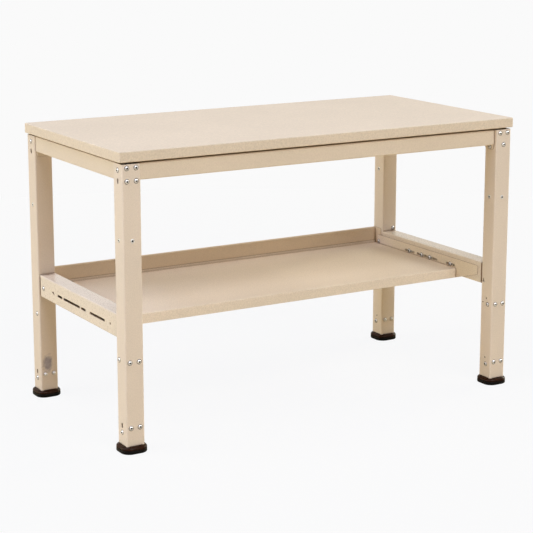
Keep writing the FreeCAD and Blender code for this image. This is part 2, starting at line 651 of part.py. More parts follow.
def shelf():
    """Deck with its front edge folded down, a low lip up at the back and both sides folded up."""
    half = RAIL_INNER_X
    deck_path = (
        (SHELF_FRONT_Y, SHELF_TOP_Z - SHELF_LIP),
        (SHELF_FRONT_Y, SHELF_TOP_Z),
        (SHELF_BACK_Y, SHELF_TOP_Z),
        (SHELF_BACK_Y, SHELF_TOP_Z + SHELF_BACK_LIP),
    )
    deck = folded(deck_path, SHELF_SHEET, BEND_INSIDE, Vector(-half, 0, 0),
                  Y_AXIS, Z_AXIS, X_AXIS * (2 * half))
    front = -(LEG_INNER_Y - SHELF_ARM_GAP)
    back = LEG_INNER_Y + SHELF_REAR_TAB_END
    top = SHELF_TOP_Z + SHELF_FLANGE
    bottom = SHELF_TOP_Z - SHELF_SHEET
    # Side flange: it runs on in front of the deck as an arm that tapers up towards the front leg
    flange = (
        (front, top - SHELF_ARM_HEIGHT),
        (SHELF_FRONT_Y, SHELF_TOP_Z - SHELF_LIP),
        (SHELF_FRONT_Y, bottom),
        (back, bottom),
        (back, top),
        (front, top),
    )
    radii = (2.0, 0, 0, 5.0, 5.0, 4.0)
    shape = deck
    for start in (-half, half - SHELF_SHEET):
        side = extruded(flange, radii, Vector(start, 0, 0), Y_AXIS, Z_AXIS, X_AXIS * SHELF_SHEET)
        shape = shape.fuse(side)
    shape = shape.removeSplitter()
    tools = []
    reach = 2 * half + 20
    for y0, y1 in SHELF_SLOTS:
        centre = Vector(0, (y0 + y1) / 2, RAIL_SLOT_Z)
        tools.append(slot_tool(RAIL_SLOT_WIDTH, y1 - y0, centre, Y_AXIS, X_AXIS, reach))
    tools.append(rear_leg_side_hole(-reach / 2, reach))
    return cut_all(shape, tools)


def shelf_rib():
    """Hat-shaped rib under the deck, along the length."""
    half = SHELF_RIB_WIDTH / 2
    top = SHELF_TOP_Z - SHELF_SHEET
    crown = top - SHELF_RIB_HEIGHT + RIB_SHEET
    path = (
        (-half - SHELF_RIB_FLANGE, top),
        (-half, top),
        (-half, crown),
        (half, crown),
        (half, top),
        (half + SHELF_RIB_FLANGE, top),
    )
    length = 2 * (RAIL_INNER_X - SHELF_RIB_END_GAP)
    centre_y = (SHELF_FRONT_Y + SHELF_BACK_Y) / 2
    origin = Vector(-length / 2, centre_y, 0)
    return folded(path, RIB_SHEET, BEND_INSIDE, origin, Y_AXIS, Z_AXIS, X_AXIS * length)


def rear_leg_side_hole(x, length):
    """Drill along X where shelf flange, stringer tab and rear leg are held together."""
    return rod(HOLE_RADIUS, Vector(x, LEG_INNER_Y + SHELF_TAB_BOLT, RAIL_SLOT_Z), X_AXIS, length)


def rear_stringer():
    """Channel across the back above the shelf, with its ends folded forward to the legs."""
    half = LEG_INNER_X - BUTT_CLEARANCE
    top = STRINGER_BOTTOM_Z + STRINGER_HEIGHT
    back = STRINGER_FRONT_Y + STRINGER_LIP
    path = (
        (back, STRINGER_BOTTOM_Z),
        (STRINGER_FRONT_Y, STRINGER_BOTTOM_Z),
        (STRINGER_FRONT_Y, top),
        (back, top),
    )
    channel = folded(path, SHELF_SHEET, BEND_INSIDE, Vector(-half, 0, 0),
                     Y_AXIS, Z_AXIS, X_AXIS * (2 * half))
    front = LEG_INNER_Y + SHELF_TAB_BOLT - STRINGER_TAB_MARGIN
    low = STRINGER_BOTTOM_Z - STRINGER_TAB_DROP
    tab = (
        (front, low),
        (STRINGER_FRONT_Y + SHELF_SHEET, low),
        (STRINGER_FRONT_Y + SHELF_SHEET, top),
        (front, top),
    )
    shape = channel
    for start in (-half, half - SHELF_SHEET):
        side = extruded(tab, (3.0, 0, 0, 3.0), Vector(start, 0, 0), Y_AXIS, Z_AXIS,
                        X_AXIS * SHELF_SHEET)
        shape = shape.fuse(side)
    shape = shape.removeSplitter()
    reach = 2 * half + 20
    return cut_all(shape, [rear_leg_side_hole(-reach / 2, reach)])


# --------------------------------------------------------------------------------- fasteners
def through_bolts(places_of, plate):
    """Bolts and nuts that run front to back through each leg, and what they clamp behind it."""
    bolts = []
    nuts = []
    grip = LEG_WIDTH + plate
    for corner, (sx, sy) in CORNERS.items():
        inward = Y_AXIS * -sy
        for x, z in places_of(corner):
            seat = Vector(x, sy * LEG_OUTER_Y, z)
            bolts.append(bolt(seat, inward, grip + NUT_HEIGHT + BOLT_OVERRUN))
            nuts.append(nut(seat + inward * grip, inward))
    return bolts, nuts


def end_bolts():
    """Bolts and nuts that run through each leg along the length, into the long aprons."""
    bolts = []
    nuts = []
    grip = LEG_WIDTH + BUTT_CLEARANCE + END_PLATE
    for sx, sy in CORNERS.values():
        inward = X_AXIS * -sx
        seat = Vector(sx * LEG_OUTER_X, sy * LEG_Y, END_BOLT_Z)
        bolts.append(bolt(seat, inward, grip + NUT_HEIGHT + BOLT_OVERRUN))
        nuts.append(nut(seat + inward * grip, inward))
    return bolts, nuts


def apron_screws():
    """Screws through the end plates of the long aprons, below the aprons, into the legs."""
    screws = []
    for sx, sy in CORNERS.values():
        seat = Vector(sx * (LEG_INNER_X - BUTT_CLEARANCE - END_PLATE), sy * LEG_Y, END_SCREW_Z)
        screws.append(bolt(seat, X_AXIS * sx, LEG_SCREW_LENGTH + END_PLATE))
    return screws


def leg_screws():
    """Short screws that close the spare fixing points in the outer faces of the legs."""
    return [bolt(point, inward, LEG_SCREW_LENGTH)
            for corner in CORNERS for point, inward in leg_screw_places(corner)]


def leg_rivet_nuts():
    """Rivet nuts behind the spare fixing points."""
    return [rivet_nut(point, inward)
            for corner in CORNERS for point, inward in leg_screw_places(corner)]


def rail_screws():
    """Screws from inside the rails into the legs, and the spare ones just above the rails."""
    screws = []
    for corner, (sx, sy) in CORNERS.items():
        outward = Y_AXIS * sy
        for x, z in rail_bolt_places(corner):
            seat = Vector(x, sy * (LEG_INNER_Y - BUTT_CLEARANCE - END_PLATE), z)
            screws.append(bolt(seat, outward, LEG_SCREW_LENGTH + END_PLATE))
        for x, z in rail_spare_places(corner):
            screws.append(bolt(Vector(x, sy * LEG_INNER_Y, z), outward, LEG_SCREW_LENGTH))
    return screws


def rail_web_bolts():
    """A bolt with its nut in the outer web of each rail, near one end."""
    bolts = []
    nuts = []
    for side in (-1, 1):
        inward = X_AXIS * -side
        along = LEG_INNER_Y - RAIL_WEB_BOLT_FROM_LEG
        seat = Vector(side * RAIL_OUTER_X, -side * along, RAIL_SLOT_Z)
        bolts.append(bolt(seat, inward, FRAME_SHEET + NUT_HEIGHT + BOLT_OVERRUN))
        nuts.append(nut(seat + inward * FRAME_SHEET, inward))
    return bolts, nuts


def shelf_bolts():
    """Bolts and nuts through the slots of the side flanges and of the inner webs of the rails."""
    bolts = []
    nuts = []
    grip = SHELF_SHEET + FRAME_SHEET
    for side in (-1, 1):
        outward = X_AXIS * side
        for y in SHELF_BOLT_Y:
            seat = Vector(side * (RAIL_INNER_X - SHELF_SHEET), y, RAIL_SLOT_Z)
            bolts.append(bolt(seat, outward, grip + NUT_HEIGHT + BOLT_OVERRUN))
            nuts.append(nut(seat + outward * grip, outward))
    return bolts, nuts


def rear_leg_screws():
    """Screws that hold a shelf flange and the stringer tab behind it to each rear leg."""
    screws = []
    for side in (-1, 1):
        seat = Vector(side * (RAIL_INNER_X - SHELF_SHEET), LEG_INNER_Y + SHELF_TAB_BOLT,
                      RAIL_SLOT_Z)
        screws.append(bolt(seat, X_AXIS * side, LEG_SCREW_LENGTH))
    return screws


# ------------------------------------------------------------------------------- all the nodes
def build():
    """Every node of the table by name."""
    nodes = {
        "table_top": table_top(),
        "top_rib_front": top_rib(-edge_rib_y()),
        "top_rib_middle": top_rib(0.0),
        "top_rib_rear": top_rib(edge_rib_y()),
        "apron_front": long_apron(),
        "apron_rear": turned(long_apron(), 180),
        "apron_left": turned(short_apron(), -90),
        "apron_right": turned(short_apron(), 90),
        "end_rail_left": end_rail(),
        "end_rail_right": turned(end_rail(), 180),
        "shelf": shelf(),
        "shelf_rib": shelf_rib(),
        "rear_stringer": rear_stringer(),
    }
    for corner in CORNERS:
        nodes["leg_" + corner] = leg(corner)
        nodes["leg_plug_" + corner] = leg_plug(corner)
        nodes["foot_" + corner] = foot(corner)
    cross, cross_nuts = through_bolts(cross_bolt_places, BUTT_CLEARANCE + END_PLATE)
    low, low_nuts = through_bolts(low_bolt_places, 0.0)
    ends, end_nuts = end_bolts()
    shelves, shelf_nuts = shelf_bolts()
    webs, web_nuts = rail_web_bolts()
    groups = {
        "apron_cross_bolts": cross,
        "apron_cross_nuts": cross_nuts,
        "apron_end_bolts": ends,
        "apron_end_nuts": end_nuts,
        "apron_screws": apron_screws(),
        "plug_bolts": low,
        "plug_nuts": low_nuts,
        "leg_screws": leg_screws(),
        "leg_rivet_nuts": leg_rivet_nuts(),
        "rail_screws": rail_screws(),
        "rail_web_bolts": webs,
        "rail_web_nuts": web_nuts,
        "shelf_bolts": shelves,
        "shelf_nuts": shelf_nuts,
        "rear_leg_screws": rear_leg_screws(),
    }
    for name, solids in groups.items():
        nodes[name] = Part.makeCompound(solids)
    return nodes


os.makedirs("parts", exist_ok=True)
for node_name, node_shape in build().items():
    node_shape.exportStep("parts/" + node_name + ".step")
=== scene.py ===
"""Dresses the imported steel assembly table: its finishes, boots, fasteners and studio.

Run as a script. Lengths in this file are metres, and the helper mm() turns millimetres to metres.
"""

import math

import bpy
import numpy as np
from bpy.props import FloatProperty, FloatVectorProperty, PointerProperty
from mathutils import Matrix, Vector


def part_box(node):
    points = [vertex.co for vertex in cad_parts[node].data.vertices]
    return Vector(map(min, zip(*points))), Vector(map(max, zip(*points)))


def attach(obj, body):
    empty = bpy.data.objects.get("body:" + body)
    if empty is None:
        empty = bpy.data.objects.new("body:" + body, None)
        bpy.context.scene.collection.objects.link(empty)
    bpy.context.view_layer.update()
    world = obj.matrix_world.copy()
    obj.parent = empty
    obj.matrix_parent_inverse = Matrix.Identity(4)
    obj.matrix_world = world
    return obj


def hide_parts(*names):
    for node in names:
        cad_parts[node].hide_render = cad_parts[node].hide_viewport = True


bl_info = {
    "name": "Steel Assembly Table",
    "version": (1, 0, 0),
    "blender": (4, 5, 0),
    "location": "View3D > Sidebar > Assembly Table",
    "description": "Finishes, boots, fasteners and studio of a steel assembly table",
    "category": "Object",
}

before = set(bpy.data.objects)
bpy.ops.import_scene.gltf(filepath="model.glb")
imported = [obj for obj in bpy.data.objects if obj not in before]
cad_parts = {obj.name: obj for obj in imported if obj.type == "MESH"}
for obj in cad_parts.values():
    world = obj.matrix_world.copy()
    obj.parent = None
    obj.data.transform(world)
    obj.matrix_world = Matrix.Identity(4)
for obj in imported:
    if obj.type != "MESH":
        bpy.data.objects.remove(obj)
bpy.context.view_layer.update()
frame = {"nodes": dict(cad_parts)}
CORNERS = ("front_left", "front_right", "rear_left", "rear_right")


def mm(value):
    """Metres from millimetres."""
    return value * 0.001


def linear(hex_colour):
    """Linear red, green and blue from an sRGB hex colour such as E8D9C8."""
    parts = [int(hex_colour[i:i + 2], 16) / 255 for i in (0, 2, 4)]
    return tuple(c / 12.92 if c <= 0.04045 else ((c + 0.055) / 1.055) ** 2.4 for c in parts)


def colour_property(name, description, hex_colour):
    """Property that holds a linear colour and shows a swatch."""
    return FloatVectorProperty(name=name, description=description, subtype="COLOR", size=3,
                               min=0.0, max=1.0, default=linear(hex_colour))


def light_property(name, description, strength):
    """Property that holds the red, green and blue strength of a light."""
    return FloatVectorProperty(name=name, description=description, size=3, min=0.0,
                               default=strength)


def length_property(name, description, millimetres):
    """Property that holds a length."""
    return FloatProperty(name=name, description=description, unit="LENGTH", subtype="DISTANCE",
                         min=0.0, default=mm(millimetres), precision=5)


def leg_width():
    """Width of a leg across its faces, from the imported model."""
    low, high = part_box("leg_front_left")
    return high.x - low.x


# ----------------------------------------------------------- shades and sizes that stay fixed
SEAM_SHADE = "7A5634"                    # brown painted shade in seams and inner corners
BARE_STEEL = "8A8782"               # the plugs in the legs
NOISE_LOW, NOISE_HIGH = 0.3, 0.7    # most values of a noise pattern lie between these
FILM_PATCH = mm(250)                # width of a patch of thicker or thinner coat
FILM_DARK, FILM_LIGHT = 0.975, 1.02  # shades of those patches
SCUFF_SMEAR = mm(9)                 # width of a streak in the rub mark
SCUFF_DEPTH = mm(6)                 # how far the rub mark reaches behind the leg's face
SCUFF_ACROSS = 0.42                 # its middle, as a share of the leg's width
SCUFF_HEIGHT = mm(96)
SCUFF_HALF_WIDTH, SCUFF_HALF_HEIGHT = mm(17), mm(30)

BOOT_FIT = mm(0.1)                  # between the boot and each face of the leg
BOOT_LEAST_CORNER = mm(4.5)         # least radius of an upright corner
CORNER_STEPS = 10                   # points round one corner
SOLE_HOLLOW = mm(1.2)               # height of the recess under the sole
SOLE_EDGE = mm(2.2)                 # radius of the rounding under the sole's edge
GROOVE_HEIGHT = mm(1.5)             # from the top of the sole to the foot of the cup
CUP_FOOT = mm(0.9)                  # from there to the start of the cup's swell
POCKET_FLOOR = mm(6)                # height at which the leg stands in the boot

ROUND_COLUMNS, NUT_COLUMNS = 24, 36  # points round a bolt or an insert, and round a nut
GOLDEN_ANGLE = math.radians(137.5)
HEAD_REACH = mm(5.5)                # points farther than this from a bolt's axis are its head's
BOLT_HEAD = mm(3.3)                 # height of the flange and the dome together
BOLT_FLANGE = mm(6.9)               # radius
BOLT_SHANK = mm(3)                  # radius
BOLT_TIP = mm(0.7)                  # chamfer at the end of the shank
DOME_SHARES = (0.86, 0.7, 0.52)     # radii of the rings on the dome, in shares of its own
THREAD_LONGEST = mm(7)
THREAD_STOP = mm(5)                 # least of a bolt's length that is left without thread
THREAD_STEPS = 4                    # rings to each pitch of the thread
NUT_FLATS = mm(10)
NUT_HOLE, NUT_MOUTH = mm(2.75), mm(3.2)   # radii of the hole and of its chamfered mouth
NUT_FACE, NUT_CORNER = mm(4.8), mm(5.5)   # radii of the flat face and of the turned corners
INSERT_BARREL, INSERT_BORE = mm(3.6), mm(2.5)
INSERT_LENGTH = mm(12)

FLOOR_RINGS = (1.0, 3.0, 10.0, 40.0)
FLOOR_COLUMNS = 96
FLOOR_FADE = (1.2, 3.2)             # distances between which the floor goes to its far tone
HORIZON = 0.1                       # the room's glow comes in over this much of the up direction
SOFTBOX_SIDE = 4.7
SOFTBOX_TARGET = (0.0, 0.0, 0.45)
SOFTBOXES = (("left_softbox", "left", (-7.5, 0.8, 4.0)),
             ("low_left_softbox", "low_left", (-6.8, 4.3, 2.3)),
             ("front_softbox", "front", (0.0, -6.5, 6.1)),
             ("right_softbox", "right", (7.9, 0.5, 3.6)),
             ("upper_softbox", "above", (-3.5, 0.0, 7.7)))    # name, its setting, its place
SENSOR_WIDTH = 36.0                 # millimetres, as the lens is
CAMERA_PLACE = (-2.27548, -3.81514, 1.39010)
CAMERA_DOWN, CAMERA_ASIDE = 11.595, 30.626    # degrees below the level and right of ahead
CAMERA_SHIFT = -0.08
CAMERA_RANGE = 200.0


# ------------------------------------------------------------------------------- settings
class CoatSettings(bpy.types.PropertyGroup):
    """Colours and texture of the powder coat."""

    top: colour_property("Top coat", "Textured beige powder coat of the top", "E4D4C3")
    coat: colour_property("Coat", "Beige powder coat of the aprons", "E6D6C6")
    frame: colour_property("Frame coat", "Powder coat of the legs and rails", "E9DACE")
    # Yellower, darker copy of the coat on the rear stringer: painted shade
    stringer_shade_coat: colour_property("Shaded stringer coat", "Yellower, darker coat of the rear stringer, painted shade", "E8D4BC")
    # Darker, yellower copy of the frame coat on the rear left leg: painted shade
    rear_leg_shade_coat: colour_property("Shaded rear leg coat", "Darker coat of the rubbed leg, painted shade", "E5D5C8")
    deck: colour_property("Deck coat", "Powder coat of the shelf", "ECDDCE")
    grain: length_property("Grain", "Width of one grain of the fine-texture coat", 3.0)
    grain_depth: length_property("Grain depth", "Height of the grains of the coat", 0.12)
    roughness: FloatProperty(name="Roughness", description="Roughness of the cured satin coat",
                             subtype="FACTOR", min=0.0, max=1.0, default=0.5)
    scuff: colour_property("Scuff", "Grey rub mark on the rear left leg", "A097A0")


class BootSettings(bpy.types.PropertyGroup):
    """Shape and colour of the moulded boots."""

    rubber: colour_property("Rubber", "Dark chocolate rubber of the cup", "2C160B")
    sole: colour_property("Sole", "Black rubber of the sole", "060505")
    corner: length_property("Corner radius", "Radius of the upright corners of the boot", 25.0)
    groove: length_property("Groove depth", "Depth of the groove between sole and cup", 1.6)
    # The sole is black rubber, drawn 9.5 mm tall so that its black also stands for painted shade on
    # the lower side of the boot
    sole_height: length_property("Sole height", "Height of the sole under the groove", 9.5)
    rim: length_property("Rim", "Thickness of the rim beside the leg", 2.0)


class FastenerSettings(bpy.types.PropertyGroup):
    """Shape and colour of the bolts, nuts and inserts."""

    zinc: colour_property("Zinc", "Bright zinc plate", "E4E4E8")
    # Darker grey zinc on the flanges: painted shade round the edge of each bolt head
    flange_shade: colour_property("Flange shade", "Darker zinc on the flange, painted shade",
                                 "8E888A")
    # Near-black colour of the sockets and bores: painted shade
    recess: colour_property("Recess", "Dark sockets, painted shade", "1C1917")
    dome: length_property("Dome", "Diameter of the domed head", 10.6)
    flange: length_property("Flange", "Thickness of the flange under the head", 0.9)
    socket: length_property("Socket", "Width across the flats of the socket", 4.6)
    socket_depth: length_property("Socket depth", "Depth of the hexagon socket", 2.5)
    pitch: length_property("Thread pitch", "Pitch of the thread", 1.0)
    thread_depth: length_property("Thread depth", "Depth of the thread", 0.45)
    insert: length_property("Insert", "Diameter of the flange of a threaded insert", 11.0)
    insert_height: length_property("Insert height", "Height of the inserts in the legs", 548.0)


class StudioSettings(bpy.types.PropertyGroup):
    """Floor, light and camera. Light colours hold strength too, so they may pass 1."""

    floor: colour_property("Floor", "Plain pale floor far from the table", "FAFAFA")
    floor_near: colour_property("Floor near", "Floor round the table, less its shade", "F3F4F6")
    shade: colour_property("Floor shade", "Light of the floor that the table takes", "443F37")
    bounce: colour_property("Bounce", "Tone that the floor reflects on the object", "E6D6B4")
    walls: colour_property("Walls", "Studio walls as bright metal mirrors them", "E6E1D8")
    ambient: light_property("Ambient", "Even light of the room", (0.085, 0.070, 0.035))
    left: light_property("Left softbox", "Softbox on the left", (0.310, 0.324, 0.364))
    low_left: light_property("Low left softbox", "Warm softbox low on the left, behind",
                             (0.205, 0.208, 0.135))
    front: light_property("Front softbox", "Softbox high in front", (0.512, 0.530, 0.550))
    right: light_property("Right softbox", "Softbox on the right", (0.590, 0.575, 0.470))
    above: light_property("Upper softbox", "Cool softbox above, on the left",
                          (0.312, 0.333, 0.418))
    lens: FloatProperty(name="Lens", description="Focal length", subtype="DISTANCE_CAMERA",
                        min=1.0, default=109.13)


# ---------------------------------------------------------------------------- mesh helpers
def grid_quads(rows, columns, close_rows=False, downward=False):
    """Corner numbers of the faces of a grid whose columns run round and join up.

    Row i and column j meet at number i * columns + j. With close_rows the last row joins the
    first one too. Faces point outwards where the outer rows climb along Z. Where they run down,
    downward turns the order of the corners about, so that the faces still point outwards.
    """
    i = np.arange(rows if close_rows else rows - 1)[:, None]
    j = np.arange(columns)[None, :]
    next_i = (i + 1) % rows
    next_j = (j + 1) % columns
    corners = (i * columns + j, i * columns + next_j, next_i * columns + next_j,
               next_i * columns + j)
    quads = np.stack([np.broadcast_to(c, (len(i), columns)) for c in corners], -1)
    quads = quads.reshape(-1, 4)
    return quads[:, ::-1] if downward else quads


def fan(pole, ring, flip=False):
    """Triangles from a pole to a closed ring of point numbers; flip turns them over."""
    following = np.roll(ring, -1)
    a, b = (following, ring) if flip else (ring, following)
    return np.stack([np.full(len(ring), pole), a, b], -1)


def build_piece(name, points, face_sets, materials, sharp_angle=35.0, numbers=None):
    """Object of one mesh, shaded smooth but for edges sharper than an angle, on the root body.

    Numbers give each face its place in the row of materials; without them all faces take the
    first.
    """
    mesh = bpy.data.meshes.new(name)
    faces = [face for faces in face_sets for face in faces.tolist()]
    mesh.from_pydata(points.reshape(-1, 3).tolist(), [], faces)
    for material in materials:
        mesh.materials.append(material)
    if numbers is not None:
        mesh.polygons.foreach_set("material_index", numbers.astype(np.int32))
    mesh.shade_smooth()
    mesh.set_sharp_from_angle(angle=math.radians(sharp_angle))
    mesh.validate()
    mesh.update()
    piece = bpy.data.objects.new(name, mesh)
    bpy.context.scene.collection.objects.link(piece)
    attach(piece, "root")
    return piece


def node_points(node):
    """Corner points of a CAD node as an array of rows, and its triangles as point numbers."""
    mesh = frame["nodes"][node].data
    points = np.zeros(len(mesh.vertices) * 3)
    mesh.vertices.foreach_get("co", points)
    corners = np.zeros(len(mesh.loops), int)
    mesh.loops.foreach_get("vertex_index", corners)
    return points.reshape(-1, 3), corners.reshape(-1, 3)


def solids_of(node):
    """Point arrays of the separate solids in a CAD node.

    Points that share a place are made one, and then each point takes the lowest number among
    its triangles' points, again and again, until every solid bears a single number.
    """
    points, triangles = node_points(node)
    keys, where = np.unique(np.round(points * 1e6).astype(np.int64), axis=0, return_inverse=True)
    triangles = where.reshape(-1)[triangles]
    label = np.arange(len(keys))
    while True:
        before = label.copy()
        lowest = label[triangles].min(1)
        for corner in range(3):
            np.minimum.at(label, triangles[:, corner], lowest)
        label = label[label]
        if (label == before).all():
            break
    places = keys / 1e6
    return [places[label == number] for number in np.unique(label)]


def fastener_frames(node):
    """Seats, axes and whole lengths of the bolts, or of the nuts, in a CAD node.

    The axis of a bolt is the direction in which its two other extents are alike, and its head is
    at the end where its points lie farthest from the axis.
    """
    seats, axes, spans = [], [], []
    for points in solids_of(node):
        low, high = points.min(0), points.max(0)
        extent = high - low
        unlike = [abs(extent[(k + 1) % 3] - extent[(k + 2) % 3]) for k in range(3)]
        k = int(np.argmin(unlike))
        middle = (low + high) / 2
        away = np.delete(points - middle, k, 1)
        wide = np.hypot(away[:, 0], away[:, 1]) > HEAD_REACH
        along = points[:, k]
        head_low = along[wide].mean() < middle[k] if wide.any() else True
        axis = np.zeros(3)
        axis[k] = 1.0 if head_low else -1.0
        start = middle.copy()
        start[k] = low[k] if head_low else high[k]
        seats.append(start)
        axes.append(axis)
        spans.append(extent[k])
    return np.array(seats), np.array(axes), np.array(spans)


def turned_frames(axes, spin):
    """Three unit directions per fastener: two across, turned by an angle each, and its axis."""
    helper = np.where(np.abs(axes[:, 2:3]) < 0.5, [[0.0, 0.0, 1.0]], [[1.0, 0.0, 0.0]])
    across = np.cross(helper, axes)
    across /= np.linalg.norm(across, axis=1, keepdims=True)
    other = np.cross(axes, across)
    c, s = np.cos(spin)[:, None], np.sin(spin)[:, None]
    return across * c + other * s, other * c - across * s, axes


def placed(shape, seats, axes):
    """Copies of a shape, its Z direction laid along each axis from each seat.

    Each copy is turned by the golden angle more than the one before it.
    """
    spin = np.arange(len(seats)) * GOLDEN_ANGLE
    u, v, w = turned_frames(axes, spin)
    flat = shape.reshape(-1, 3)
    basis = np.stack([u, v, w], 1)
    return seats[:, None, :] + np.einsum("pk,nkd->npd", flat, basis)


def copies_of_faces(faces, count, size):
    """Faces of one copy, repeated for a count of copies of a size in points."""
    shift = np.arange(count)[:, None, None] * size
    return (faces[None] + shift).reshape(-1, faces.shape[1])


def hexagon_radius(angle, across_flats):
    """Distance from the middle of a hexagon to its outline at an angle.

    Half the width across flats over the cosine of the angle to the middle of the nearest flat.
    """
    return across_flats / 2 / np.cos((angle + math.pi / 6) % (math.pi / 3) - math.pi / 6)


def turned_grid(radii, heights, angle):
    """Grid of points at their radius times the cosine and the sine of the angle, and height."""
    return np.stack([radii * np.cos(angle), radii * np.sin(angle), heights], -1)


# ------------------------------------------------------------------------ material helpers
def add_node(tree, kind, inputs=None, **settings):
    """Adds a node with its settings; inputs maps a socket to a value or to a linked output."""
    made = tree.nodes.new(kind)
    for name, value in settings.items():
        setattr(made, name, value)
    for socket, value in (inputs or {}).items():
        if isinstance(value, bpy.types.NodeSocket):
            tree.links.new(value, made.inputs[socket])
        else:
            made.inputs[socket].default_value = value
    return made


def new_material(name):
    """Empty node material with its output."""
    material = bpy.data.materials.new(name)
    material.use_nodes = True
    material.node_tree.nodes.clear()
    output = add_node(material.node_tree, "ShaderNodeOutputMaterial")
    return material, material.node_tree, output


def rgba(colour):
    """Colour with full opacity."""
    return (*colour[:3], 1.0)


def scaled(colour, factor):
    """Colour made lighter or darker."""
    return tuple(min(c * factor, 1.0) for c in colour[:3])


def powder_coat(name, colour, grain, depth, roughness, speckle=0.05, specular=0.25, scuff=None,
                scuff_colour=None, reach=mm(8), corner_shade=0.6, gloss=0.0):
    """Polyester powder coat, sprayed on steel and baked: satin, a little uneven, finely pebbled.

    Real grains are about 0.3 mm wide, too fine to show, so they are drawn as wide as the grain
    setting, and speckle is how much lighter or darker they are. Broad soft patches stand for
    uneven film thickness. Brown painted shade darkens seams and inner corners, no further from
    them than the reach, and the shade weight is how much of the coat it hides there. Gloss is the
    weight of a clear skin over the coat. A scuff is a grey rub mark round a point, given with its
    half width and half height.
    """
    material, tree, output = new_material(name)
    place = add_node(tree, "ShaderNodeTexCoord").outputs["Object"]
    fine = add_node(tree, "ShaderNodeTexNoise", {"Vector": place, "Scale": 1 / grain,
                                                 "Detail": 3.0, "Roughness": 0.6})
    broad = add_node(tree, "ShaderNodeTexNoise", {"Vector": place, "Scale": 1 / FILM_PATCH,
                                                  "Detail": 2.0, "Roughness": 0.5})
    pebbles = add_node(tree, "ShaderNodeMapRange", {
        "Value": fine.outputs["Fac"], "From Min": NOISE_LOW, "From Max": NOISE_HIGH,
        "To Min": 1 - speckle, "To Max": 1 + speckle})
    patches = add_node(tree, "ShaderNodeMapRange", {
        "Value": broad.outputs["Fac"], "From Min": NOISE_LOW, "From Max": NOISE_HIGH,
        "To Min": FILM_DARK, "To Max": FILM_LIGHT})
    shade = add_node(tree, "ShaderNodeMath", {0: pebbles.outputs[0], 1: patches.outputs[0]},
                     operation="MULTIPLY")
    tint = add_node(tree, "ShaderNodeVectorMath", {0: colour[:3], "Scale": shade.outputs[0]},
                    operation="SCALE")
    # Painted shade: ambient occlusion within the reach darkens seams and inner corners towards
    # brown
    corner = add_node(tree, "ShaderNodeAmbientOcclusion", {"Distance": reach}, samples=8)
    corner_shade_mask = add_node(tree, "ShaderNodeMapRange", {
        "Value": corner.outputs["AO"], "From Min": 0.45, "From Max": 0.85,
        "To Min": corner_shade, "To Max": 0.0})
    corner_shaded = add_node(tree, "ShaderNodeMix", {0: corner_shade_mask.outputs[0], 6: tint.outputs["Vector"],
                                             7: rgba(linear(SEAM_SHADE))}, data_type="RGBA")
    surface = corner_shaded.outputs[2]
    if scuff is not None:
        centre, half_width, half_height = scuff
        moved = add_node(tree, "ShaderNodeVectorMath", {0: place, 1: centre},
                         operation="SUBTRACT")
        squeezed = add_node(tree, "ShaderNodeVectorMath", {
            0: moved.outputs[0], 1: (1 / half_width, 1 / SCUFF_DEPTH, 1 / half_height)},
            operation="MULTIPLY")
        distance = add_node(tree, "ShaderNodeVectorMath", {0: squeezed.outputs[0]},
                            operation="LENGTH")
        smear = add_node(tree, "ShaderNodeTexNoise", {
            "Vector": place, "Scale": 1 / SCUFF_SMEAR, "Detail": 3.0})
        ragged = add_node(tree, "ShaderNodeMath", {0: distance.outputs["Value"],
                                                   1: smear.outputs["Fac"]}, operation="ADD")
        mask = add_node(tree, "ShaderNodeMapRange", {
            "Value": ragged.outputs[0], "From Min": 0.95, "From Max": 1.5,
            "To Min": 0.9, "To Max": 0.0})
        streak = add_node(tree, "ShaderNodeMix", {
            0: smear.outputs["Fac"], 6: rgba(scaled(scuff_colour, 0.6)),
            7: rgba(scaled(scuff_colour, 1.4))}, data_type="RGBA")
        rubbed = add_node(tree, "ShaderNodeMix", {0: mask.outputs[0], 6: surface,
                                                  7: streak.outputs[2]}, data_type="RGBA")
        surface = rubbed.outputs[2]
    sheen = add_node(tree, "ShaderNodeMapRange", {
        "Value": fine.outputs["Fac"], "From Min": NOISE_LOW, "From Max": NOISE_HIGH,
        "To Min": roughness - 0.06, "To Max": roughness + 0.06})
    bump = add_node(tree, "ShaderNodeBump", {"Height": fine.outputs["Fac"], "Distance": depth,
                                             "Strength": 1.0})
    shader = add_node(tree, "ShaderNodeBsdfPrincipled", {
        "Base Color": surface, "Roughness": sheen.outputs[0], "IOR": 1.5,
        "Specular IOR Level": specular, "Coat Weight": gloss, "Coat Roughness": 0.2,
        "Normal": bump.outputs[0]})
    tree.links.new(shader.outputs[0], output.inputs[0])
    return material


def moulded_rubber(name, colour, roughness):
    """Carbon-filled rubber out of a mould: very dark, smooth-skinned, with faint flow marks."""
    material, tree, output = new_material(name)
    place = add_node(tree, "ShaderNodeTexCoord").outputs["Object"]
    skin = add_node(tree, "ShaderNodeTexNoise", {"Vector": place, "Scale": 1 / mm(2),
                                                 "Detail": 4.0})
    flow = add_node(tree, "ShaderNodeTexNoise", {"Vector": place, "Scale": 1 / mm(18),
                                                 "Detail": 2.0, "Distortion": 1.5})
    tone = add_node(tree, "ShaderNodeMix", {0: flow.outputs["Fac"],
                                            6: rgba(scaled(colour, 0.7)),
                                            7: rgba(scaled(colour, 1.35))}, data_type="RGBA")
    dull = add_node(tree, "ShaderNodeMapRange", {
        "Value": skin.outputs["Fac"], "From Min": NOISE_LOW, "From Max": NOISE_HIGH,
        "To Min": roughness - 0.08, "To Max": roughness + 0.08})
    bump = add_node(tree, "ShaderNodeBump", {"Height": skin.outputs["Fac"],
                                             "Distance": mm(0.08), "Strength": 1.0})
    shader = add_node(tree, "ShaderNodeBsdfPrincipled", {
        "Base Color": tone.outputs[2], "Roughness": dull.outputs[0], "IOR": 1.52,
        "Specular IOR Level": 0.1, "Normal": bump.outputs[0]})
    tree.links.new(shader.outputs[0], output.inputs[0])
    return material


